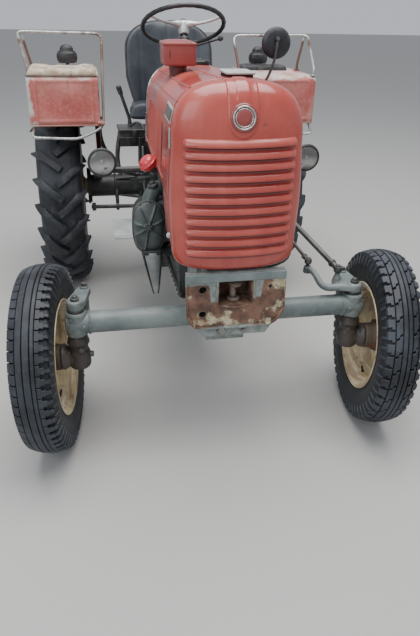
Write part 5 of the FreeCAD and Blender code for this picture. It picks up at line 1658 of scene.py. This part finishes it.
def make_steering_wheel():
    place = wheel_axes()
    body = "steering_wheel"
    turn = np.linspace(0, 2 * np.pi, 120, endpoint=False)
    ring = np.stack([179 * np.cos(turn), 179 * np.sin(turn), 0 * turn], 1)
    circle = arc(0, 0, 1, 0, 360, 14)[:-1] * (9.6, 9.2)
    grip = sweep(ring, circle, True, 1 + 0.05 * np.cos(28 * turn))
    piece("steering_grip", grip, PLASTIC, body, place, ("steering_wheel",))
    spokes, arms = [], []
    for degrees in (90, 210, 330):
        a = math.radians(degrees)
        out = np.array((math.cos(a), math.sin(a), 0))
        spokes.append(bar([out * 40 + (0, 0, -4), out * 120 + (0, 0, -7), out * 176], [7, 6.6, 6.4], 30, 12))
        arms.append(bar([out * 6 + (0, 0, 2), out * 40 + (0, 0, 0), out * 66 + (0, 0, -4)], [18, 13, 8], 20, 14))
    piece("steering_spokes", spokes, ALUMINIUM, body, place)
    hub = lathe(round_section([(-40, 16), (-38, 22), (-12, 24), (6, 26), (14, 24), (17, 16), (18, 0)], 4), 40, (0, 0, 0), (0, 0, 1))
    piece("steering_hub", [hub] + arms, ALUMINIUM, body, place)
    nut = lathe([(14, 13), (26, 13), (27, 11), (27, 0)], 6, (0, 0, 0), (0, 0, 1))
    shaft = lathe([(-95, 10), (-36, 10)], 20, (0, 0, 0), (0, 0, 1))
    piece("steering_nut", [nut, shaft], STEEL, body, place)


COLUMN_TILT = math.radians(27)
COLUMN_AXIS = np.array((0, math.sin(COLUMN_TILT), math.cos(COLUMN_TILT)))
WHEEL_CENTRE = np.array((0, 916, 1455.0))


def make_column():
    dress(CASTING, ["steering_box"], 4.0)
    tube = lathe(round_section([(30, 22), (60, 24), (66, 20), (430, 20), (436, 25), (462, 25), (470, 19)], 3), 32,
                 WHEEL_CENTRE - 520 * COLUMN_AXIS, COLUMN_AXIS)
    piece("column_tube", tube, BLACK)
    collar = WHEEL_CENTRE - 92 * COLUMN_AXIS
    lever = [bar([collar, collar + (60, -6, 8), collar + (150, -20, 34)], [5, 5, 4.5], 20, 10),
             lathe([(-14, 0), (-14, 22), (10, 22), (10, 0)], 24, collar, COLUMN_AXIS)]
    piece("throttle_lever", lever, BLACK)
    knob = lathe([(-13, 0), (-11, 7), (-4, 11), (4, 11), (10, 7), (13, 0)], 20, collar + (156, -21, 36), (1, -0.1, 0.2))
    piece("throttle_knob", knob, PLASTIC)


def dash_outline(inset, y):
    half, top = hood_size(y)
    across, lift = on_curve(np.linspace(0, np.pi, 49), CORNER_POWER)
    crown = np.stack([across * (half - inset), top - CROWN + lift * (CROWN - inset)], 1)
    return np.vstack([[(half - inset, BONNET_LOW + inset)], crown, [(-(half - inset), BONNET_LOW + inset)]])


def make_dash():
    panel = slab(dash_outline(3, BONNET_REAR), 801, 809)
    piece("dash_sheet", panel, RED, replaces=("dash_panel",))
    dial = [lathe([(0, 42), (8, 42), (11, 38), (9, 35)], 48, (95, 809, 1245), (0, 1, 0))]
    piece("dash_dial_ring", dial, WORN_CHROME)
    piece("dash_dial_face", lathe([(7, 35.5), (7, 0)], 48, (95, 809, 1245), (0, 1, 0)), PALE_PLATE)
    piece("dash_dial_glass", lathe([(9, 35.5), (10, 20), (10.5, 0)], 48, (95, 809, 1245), (0, 1, 0)), GLASS)
    hand = bar([(95, 817.5, 1245), (77, 817.5, 1262)], [2.2, 0.8], 2, 6)
    piece("dash_dial_hand", hand, SEAM_RUBBER)
    knobs = []
    for x, z in ((-95, 1255), (-55, 1262), (-110, 1205), (-70, 1205), (60, 1185), (120, 1180)):
        knobs.append(lathe([(0, 9), (4, 9), (5, 4), (12, 4), (13, 9), (22, 10), (25, 7), (26, 0)], 20, (x, 809, z), (0, 1, 0)))
    piece("dash_knobs", knobs, PLASTIC)
    screws = []
    for x, z in ((-165, 1010), (165, 1010), (-160, 1120), (160, 1120), (-120, 1275), (120, 1292), (0, 1300)):
        screws += bolt((x, 809, z), (0, 1, 0), 5, 4)
    piece("dash_screws", screws, RUSTY)


def make_levers_and_boxes():
    dress(BLACK, ["hand_levers", "battery_box"], 2.5)
    dress(PALE_PLATE, ["footboards"], 2.5)
    lid = [block((-306, -159), (924, 1076), (1004, 1014), 3.5), block((-304, -161), (926, 1074), (972, 977), 2)]
    catches = [block((-240, -220), (922, 928), (955, 1010), 2), block((-300, -296), (980, 1010), (950, 1005), 1.5)]
    linkage = [bar([(-284, 952, 1006), (-298, 948, 986), (-312, 942, 925), (-316, 936, 880), (-306, 925, 800)], [13, 11, 10], 40, 12),
               bar([(-246, 1000, 1014), (-246, 1000, 1050), (-290, 1010, 1188)], [11, 8, 8], 20, 12),
               bar([(-250, 990, 1016), (-215, 980, 1040), (-190, 960, 1030), (-180, 930, 985)], 6, 25, 10),
               bar([(-205, 930, 975), (-210, 930, 840), (-150, 900, 800)], 9, 30, 10)]
    piece("battery_box_lid", lid + catches, BLACK)
    piece("lever_linkage", linkage, BLACK)
    grips = []
    for foot, tip in (((-281, 1008, 1160), (-293, 1011, 1198)), ((54, 1043, 1050), (62, 1039, 1088)),
                      ((-74, 1134, 975), (-83, 1128, 1010))):
        way = np.subtract(tip, foot)
        size = float(np.linalg.norm(way))
        grips.append(lathe(round_section([(0, 8), (0, 11), (size - 8, 13), (size, 9), (size + 1, 0)], 3), 20, foot, way))
    piece("lever_grips", grips, PLASTIC)
    pedals = []
    for side, _ in SIDES:
        pedals.append(bar([(side * 130, 760, 640), (side * 190, 800, 700), (side * 200, 830, 780), (side * 200, 850, 800)],
                          [10, 9, 8, 8], 25, 10))
        pedals.append(block(sorted((side * 170, side * 232)), (838, 862), (796, 808), 4))
        for rib_y in (-8, 0, 8):
            pedals.append(block(sorted((side * 174, side * 228)), (848 + rib_y, 851 + rib_y), (806, 811), 1.4))
    piece("pedals", pedals, BLACK)
    treads = []
    for side, _ in SIDES:
        for y in np.linspace(865, 1135, 13):
            treads.append(block(sorted((side * 132, side * 344)), (y - 3, y + 3), (507, 511), 1.5))
        treads.append(bar([(side * 117, 870, 500), (side * 60, 870, 470)], 10, 5, 10))
        treads.append(bar([(side * 117, 1130, 500), (side * 60, 1130, 470)], 10, 5, 10))
    piece("footboard_treads", treads, PALE_PLATE)


make_seat()
make_steering_wheel()
make_column()
make_dash()
make_levers_and_boxes()


# Engine, gearbox, rear axle and what is bolted to them

def bolt_line(start, end, count, direction, size=6.0, height=5.0):
    """Bolts at even steps from one point to another."""
    return sum((bolt(spot, direction, size, height) for spot in np.linspace(start, end, count)), [])


def ribbed_cover():
    """Domed cover facing forward: a superellipse whose height is the fourth root of a parabola, with seven ribs that
    fan out from its boss, each a bell curve across its own direction."""
    share = np.linspace(0, 1, 46)[:, None]
    turn = np.linspace(0, 2 * np.pi, 160, endpoint=False)[None, :]
    a, b = on_curve(turn, 2.6)
    x = 64 * share * a
    z = 100 * share * b + 8 * share * np.sin(turn)
    dome = 34 * (1 - share ** 2.6) ** 0.6
    distance = np.hypot(x + 4, z - 12)
    angle = np.arctan2(z - 12, x + 4)
    ribs = 0
    for degrees in (20, 68, 112, 165, 215, 262, 318):
        across = distance * np.sin(angle - math.radians(degrees))
        ahead = np.cos(angle - math.radians(degrees)) > 0
        ribs = np.maximum(ribs, ahead * np.exp(-(across / 3.6) ** 2))
    ribs = ribs * np.clip(distance / 14, 0, 1) * np.clip((1 - share) / 0.08, 0, 1)
    boss = np.clip((19 - distance) / 5, 0, 1)
    hollow = 5 * np.sin(3 * angle + 1) * share * (1 - share)
    y = 372 - dome - 7.5 * ribs - 8 * boss + hollow
    return grid(np.stack([-228 + x, y, 722 + z + 0 * x], -1), round_columns=True)


def make_cooling_housing():
    piece("housing_cover", ribbed_cover(), HOUSING, replaces=("cooling_housing",), sharp=60)
    turn = np.linspace(0, 2 * np.pi, 72, endpoint=False)
    a, b = on_curve(turn, 2.6)
    outline = np.stack([-228 + 67 * a, 722 + 103 * b + 8 * np.sin(turn)], 1)
    inner = np.stack([-222 + 60 * a, 722 + 92 * b + 8 * np.sin(turn)], 1)
    body = [slab(outline, 368, 386), slab(inner, 384, 470),
            bar([(-222, 420, 800), (-205, 430, 850), (-180, 440, 872), (-120, 450, 880)], [34, 30, 27, 27], 30, 20),
            bar([(-232, 425, 640), (-215, 425, 606), (-150, 430, 590), (-118, 440, 590)], [30, 24, 20, 20], 30, 16),
            lathe(round_section([(0, 0), (0, 40), (12, 44), (70, 44), (76, 38)], 4), 40, (-205, 468, 730), (1, 0, 0)),
            block((-200, -126), (400, 500), (640, 820), 14)]
    for y in np.linspace(396, 462, 5):
        body.append(slab(np.stack([-224 + 65 * a, 722 + 99 * b + 8 * np.sin(turn)], 1), y - 2, y + 2))
    piece("housing_body", body, HOUSING, sharp=40)
    heads = []
    for angle in np.radians(np.arange(10, 370, 36)):
        a, b = on_curve(angle, 2.6)
        heads += bolt((-228 + 60 * a, 369, 722 + 94 * b + 8 * math.sin(angle)), (0, -1, 0), 5.5, 6)
    piece("housing_bolts", heads, RUSTY)
    piece("housing_boss_bolt", bolt((-232, 331, 734), (0, -1, 0), 8, 5), STEEL)
    cap = lathe(round_section([(0, 0), (0, 24), (10, 26), (20, 24), (22, 12), (30, 12), (31, 0)], 3), 24, (-196, 432, 868),
                (-0.35, -0.1, 1))
    piece("housing_cap", cap, CASTING)


def make_fin():
    """Tapering guard below the housing: a pale channel that bulges forward by a parabola, with dark folded edges."""
    z = np.linspace(622, 428, 30)
    share = (z - 428) / (622 - 428)
    centre = -205 - 13 * share
    half = 9 + 29 * share ** 0.85
    u = np.linspace(-1, 1, 17)
    x = centre[:, None] + half[:, None] * u
    y = 356 - (3 + 19 * share)[:, None] * (1 - u ** 2)
    front = np.stack([x, y, np.broadcast_to(z[:, None], x.shape)], -1)
    back = front + (0, 4, 0)
    rims = [grid(np.stack([front[:, 0], back[:, 0]])), grid(np.stack([back[:, -1], front[:, -1]])),
            grid(np.stack([front[-1], back[-1]]))]
    piece("guard_channel", [grid(front), grid(back[:, ::-1])] + rims, FIN)
    edges = []
    for column in (0, -1):
        edges.append(sweep(front[:, column] + (0, 0, 0), arc(0, 0, 5.0, 0, 360, 8)[:-1], scale=0.6 + 0.7 * share))
    piece("guard_edges", edges + [block((-256, -180), (338, 380), (610, 630), 6)], CASTING)


def make_engine():
    dress(CASTING, ["engine_block", "gearbox_housing", "rear_axle_housing"], 7.0)
    dress(BLACK, ["radiator", "rear_hitch"], 3.0)
    covers, heads = [], []
    for side, _ in SIDES:
        wall = side * 130
        out = (side, 0, 0)
        covers.append(block((wall - 6 * side, wall + 9 * side), (104, 636), (520, 538), 4))
        covers.append(block((wall - 6 * side, wall + 7 * side), (104, 636), (838, 850), 3))
        covers.append(block((wall - 6 * side, wall + 12 * side), (110, 630), (938, 962), 6))
        for y in np.linspace(118, 622, 12):
            covers.append(block((wall - 4 * side, wall + 8 * side), (y - 5, y + 5), (852, 936), 3))
        for y in (122, 322, 350, 590, 622):
            if side > 0 or not 320 < y < 500:
                covers.append(block((wall - 4 * side, wall + 9 * side), (y - 6, y + 6), (540, 836), 4))
        heads += bolt_line((wall + 9 * side, 124, 529), (wall + 9 * side, 616, 529), 12, out)
        heads += bolt_line((wall + 7 * side, 130, 844), (wall + 7 * side, 610, 844), 9, out, 5, 4)
    for low, high in ((140, 306), (366, 574)):
        covers.append(block((124, 138), (low, high), (610, 790), 6))
        for y in (low + 14, high - 14):
            heads += bolt_line((138, y, 626), (138, y, 774), 3, (1, 0, 0), 6, 5)
    covers.append(block((-138, -124), (140, 300), (600, 790), 6))
    for y in (154, 286):
        heads += bolt_line((-138, y, 616), (-138, y, 774), 3, (-1, 0, 0), 6, 5)
    covers.append(block((-138, -124), (520, 610), (620, 780), 6))
    sump_ribs = [block((-94, 94), (y - 4, y + 4), (434, 500), 3) for y in np.linspace(240, 560, 7)]
    plug = lathe([(0, 22), (6, 22), (8, 12), (16, 12), (17, 0)], 6, (0, 400, 441), (0, 0, -1))
    piece("engine_covers", covers + sump_ribs, CASTING)
    piece("engine_bolts", heads + [plug], WEATHERED)
    generator = [lathe(round_section([(0, 0), (0, 38), (10, 46), (96, 46), (108, 40), (112, 14), (130, 12), (131, 0)], 3), 48,
                       (176, 268, 770), (0, -1, 0)),
                 block((126, 180), (186, 250), (712, 726), 4),
                 lathe(round_section([(0, 12), (0, 34), (3, 36), (8, 27), (13, 36), (16, 34), (16, 0)], 1), 40, (176, 146, 770),
                       (0, -1, 0))]
    piece("generator", generator, BLACK)
    manifold = [bar([(150, 150, 905), (162, 200, 905), (164, 420, 905), (160, 480, 880), (158, 500, 800), (158, 505, 560),
                     (160, 560, 478), (164, 700, 466), (168, 1300, 466), (180, 1420, 470)], [24, 23, 22, 21, 20, 20, 20, 20], 60, 20)]
    for y in (190, 300, 410):
        manifold.append(bar([(126, y, 905), (164, y, 905)], 24, 10, 16))
        manifold.append(block((128, 138), (y - 38, y + 38), (882, 928), 6))
    manifold.append(lathe(round_section([(0, 0), (0, 22), (20, 44), (250, 44), (270, 22), (270, 0)], 5), 40, (164, 780, 466),
                          (0, 1, 0)))
    piece("exhaust_manifold", manifold, RUSTY)
    pump = [block((128, 170), (430, 560), (800, 850), 8),
            lathe(round_section([(0, 0), (0, 30), (84, 30), (90, 24), (91, 0)], 3), 32, (160, 590, 640), (0, 0, 1)),
            block((124, 150), (566, 612), (650, 720), 6)]
    for y in (450, 480, 510, 540):
        pump.append(lathe([(0, 9), (14, 9), (15, 6), (26, 6), (27, 0)], 12, (150, y, 848), (0, 0, 1)))
    piece("fuel_pump", pump, BLACK)
    pipes = []
    for y, head in ((450, 150), (480, 270), (510, 390), (540, 560)):
        pipes.append(bar([(150, y, 872), (150, y, 890), (186, (y + head) / 2, 926), (146, head, 932), (132, head, 946)],
                         3.2, 14, 8))
    piece("fuel_pipes", pipes, STEEL)
    starter = [lathe(round_section([(0, 0), (0, 40), (8, 44), (150, 44), (158, 38), (160, 0)], 4), 40, (-172, 636, 620),
                     (0, -1, 0)),
               lathe(round_section([(0, 0), (0, 22), (80, 22), (82, 0)], 3), 32, (-172, 620, 686), (0, -1, 0)),
               block((-180, -120), (600, 640), (580, 670), 6)]
    piece("starter", starter, BLACK)
    belt_spots = [(0, 82, 860, 62), (0, 82, 640, 74)]
    pulleys = []
    for x, y, z, radius in belt_spots:
        pulleys.append(lathe(round_section([(-13, 0), (-13, radius), (-3, radius - 9), (3, radius - 9), (13, radius), (13, 20),
                                            (18, 20), (18, 0)], 1), 48, (x, y, z), (0, 1, 0)))
    blades = []
    for degrees in range(0, 360, 60):
        blade = block((-26, 26), (38, 42), (30, 142), 1.8).turned("Z", 24, (0, 40, 0)).turned("Y", degrees)
        blades.append(blade.moved(z=860))
    blades.append(lathe([(0, 0), (0, 34), (44, 34), (44, 0)], 32, (0, 30, 860), (0, 1, 0)))
    piece("fan", pulleys + blades, BLACK)
    hoses = [bar([(50, -34, 800), (50, 20, 800), (50, 60, 770), (50, 104, 760)], 21, 30, 18),
             bar([(-30, -34, 1195), (-30, 40, 1195), (-30, 90, 1150), (-30, 130, 1040), (-30, 140, 985)], 21, 50, 18)]
    piece("radiator_hoses", hoses, SEAM_RUBBER)


def make_gearbox():
    bell, heads = [], []
    for side, _ in SIDES:
        bell.append(block((side * 140, side * 157), (632, 652), (432, 806), 6))
        bell.append(block((side * 140, side * 154), (690, 704), (436, 804), 5))
        heads += bolt_line((side * 157, 642, 460), (side * 157, 642, 780), 7, (side, 0, 0), 6, 5)
        bell.append(lathe(round_section([(0, 0), (0, 92), (9, 92), (11, 84), (20, 80), (24, 40), (26, 0)], 4), 56,
                          (side * 112, 960, 620), (side, 0, 0)))
        for degrees in range(0, 360, 45):
            a = math.radians(degrees)
            heads += bolt((side * 121, 960 + 86 * math.cos(a), 620 + 86 * math.sin(a)), (side, 0, 0), 5.5, 5)
        for y in (1090, 1240, 1390, 1540):
            bell.append(block((side * 108, side * 124), (y - 7, y + 7), (446, 794), 5))
        bell.append(block((side * 106, side * 126), (710, 1556), (776, 792), 6))
        bell.append(block((side * 106, side * 126), (710, 1556), (448, 464), 6))
        bell.append(block((side * 108, side * 121), (1270, 1360), (560, 700), 6))
        heads += bolt_line((side * 121, 1282, 576), (side * 121, 1282, 684), 3, (side, 0, 0), 5, 4)
        heads += bolt_line((side * 121, 1348, 576), (side * 121, 1348, 684), 3, (side, 0, 0), 5, 4)
    bell.append(block((-84, 84), (1010, 1230), (796, 812), 6))
    bell.append(block((-78, 78), (1262, 1446), (796, 810), 6))
    bell.append(block((-100, 100), (660, 905), (794, 806), 5))
    for y in (1022, 1218):
        heads += bolt_line((-72, y, 812), (72, y, 812), 3, (0, 0, 1), 6, 5)
    for y in (1274, 1434):
        heads += bolt_line((-66, y, 810), (66, y, 810), 2, (0, 0, 1), 7, 6)
    boots = []
    for x, y in ((20, 1060), (-40, 1160)):
        boots.append(lathe(round_section([(0, 0), (0, 26), (8, 26), (12, 18), (17, 21), (22, 15), (27, 18), (32, 11), (38, 9)], 1),
                           28, (x, y, 811), (0, 0, 1)))
    piece("gearbox_ribs", bell, CASTING)
    piece("gearbox_bolts", heads, WEATHERED)
    piece("lever_boots", boots, SEAM_RUBBER)


def make_rear_axle():
    flanges, heads = [], []
    axle_height = 558
    for side, _ in SIDES:
        for x, reach in ((140, 16), (300, 10), (446, 14)):
            radius = 96 if x == 140 else 74 if x == 300 else 98
            flanges.append(lathe(round_section([(0, 60), (0, radius), (reach, radius), (reach, 60)], 3), 56,
                                 (side * x, 1660, axle_height), (side, 0, 0)))
        for degrees in range(0, 360, 45):
            a = math.radians(degrees + 22.5)
            heads += bolt((side * 156, 1660 + 84 * math.cos(a), axle_height + 84 * math.sin(a)), (side, 0, 0), 7, 7)
        for angle in (45, 135, 225, 315):
            across = np.array((math.cos(math.radians(angle)), math.sin(math.radians(angle))))
            start = np.array((side * 150, 1660 + 90 * across[0], axle_height + 90 * across[1]))
            end = np.array((side * 300, 1660 + 66 * across[0], axle_height + 66 * across[1]))
            flanges.append(bar([start, end], [9, 6], 5, 8))
        for x in (398, 420):
            heads += bolt((side * x, 1632, 648), (0, 0, 1), 7, 7)
            heads += bolt((side * x, 1688, 648), (0, 0, 1), 7, 7)
        shaft = [bar([(side * 138, 1560, 452), (side * 456, 1560, 456)], 12, 10, 12),
                 lathe([(-9, 12), (-9, 22), (9, 22), (9, 12)], 24, (side * 300, 1560, 454), (1, 0, 0)),
                 lathe([(-11, 12), (-11, 24), (11, 24), (11, 12)], 24, (side * 440, 1560, 456), (1, 0, 0)),
                 bar([(side * 300, 1560, 454), (side * 300, 1580, 520), (side * 300, 1600, 545)], [11, 9], 10, 10),
                 bar([(side * 180, 1560, 452), (side * 182, 1470, 500), (side * 182, 1300, 560), (side * 182, 1000, 600),
                      (side * 160, 790, 640)], 6, 60, 10)]
        piece("brake_shaft_%s" % ("left" if side > 0 else "right"), shaft, WEATHERED)
        stay = [bar([(side * 384, 1300, 1020), (side * 380, 1330, 880), (side * 300, 1440, 700), (side * 118, 1480, 640)],
                    [9, 11, 11, 9], 50, 12),
                bar([(side * 378, 1306, 1010), (side * 366, 1306, 1004)], 7, 3, 10)]
        piece("fender_stay_%s" % ("left" if side > 0 else "right"), stay, BLACK)
    for x in (-70, 0, 70):
        flanges.append(block((x - 6, x + 6), (1752, 1768), (620, 752), 4))
    flanges.append(lathe(round_section([(0, 20), (0, 62), (8, 62), (10, 56), (22, 50), (24, 22)], 3), 48, (0, 1758, 600), (0, 1, 0)))
    flanges.append(block((-60, 60), (1480, 1750), (756, 772), 6))
    for degrees in range(0, 360, 60):
        a = math.radians(degrees)
        heads += bolt((54 * math.cos(a), 1766, 600 + 54 * math.sin(a)), (0, 1, 0), 5.5, 6)
    heads += bolt_line((-48, 1500, 772), (-48, 1730, 772), 3, (0, 0, 1), 6, 5)
    heads += bolt_line((48, 1500, 772), (48, 1730, 772), 3, (0, 0, 1), 6, 5)
    for x in (-62, 62):
        heads += bolt_line((x, 1790, 410), (x, 1790, 530), 3, (0, 1, 0), 9, 8)
    piece("rear_axle_flanges", flanges, CASTING)
    piece("rear_axle_bolts", heads, WEATHERED)
    turn = np.linspace(0, 2 * np.pi, 144, endpoint=False)
    teeth = 15.0 + 2.4 * np.clip(1.6 * np.sin(6 * turn), -1, 1)
    section = np.stack([teeth * np.cos(turn), 600 + teeth * np.sin(turn)], 1)
    piece("drive_stub_splines", slab(section, 1778, 1834), STEEL)
    ears = [block((x - 6, x + 6), (1740, 1800), (690, 766), 5) for x in (-34, 34)]
    ears.append(bar([(-46, 1782, 735), (46, 1782, 735)], 10, 5, 16))
    ears.append(block((-56, 56), (1788, 1796), (384, 556), 4))
    ears.append(bar([(-30, 1800, 432), (-30, 1900, 422)], 8, 5, 10))
    ears.append(bar([(30, 1800, 432), (30, 1900, 422)], 8, 5, 10))
    piece("rear_link_ears", ears, BLACK)


make_cooling_housing()
make_fin()
make_engine()
make_gearbox()
make_rear_axle()
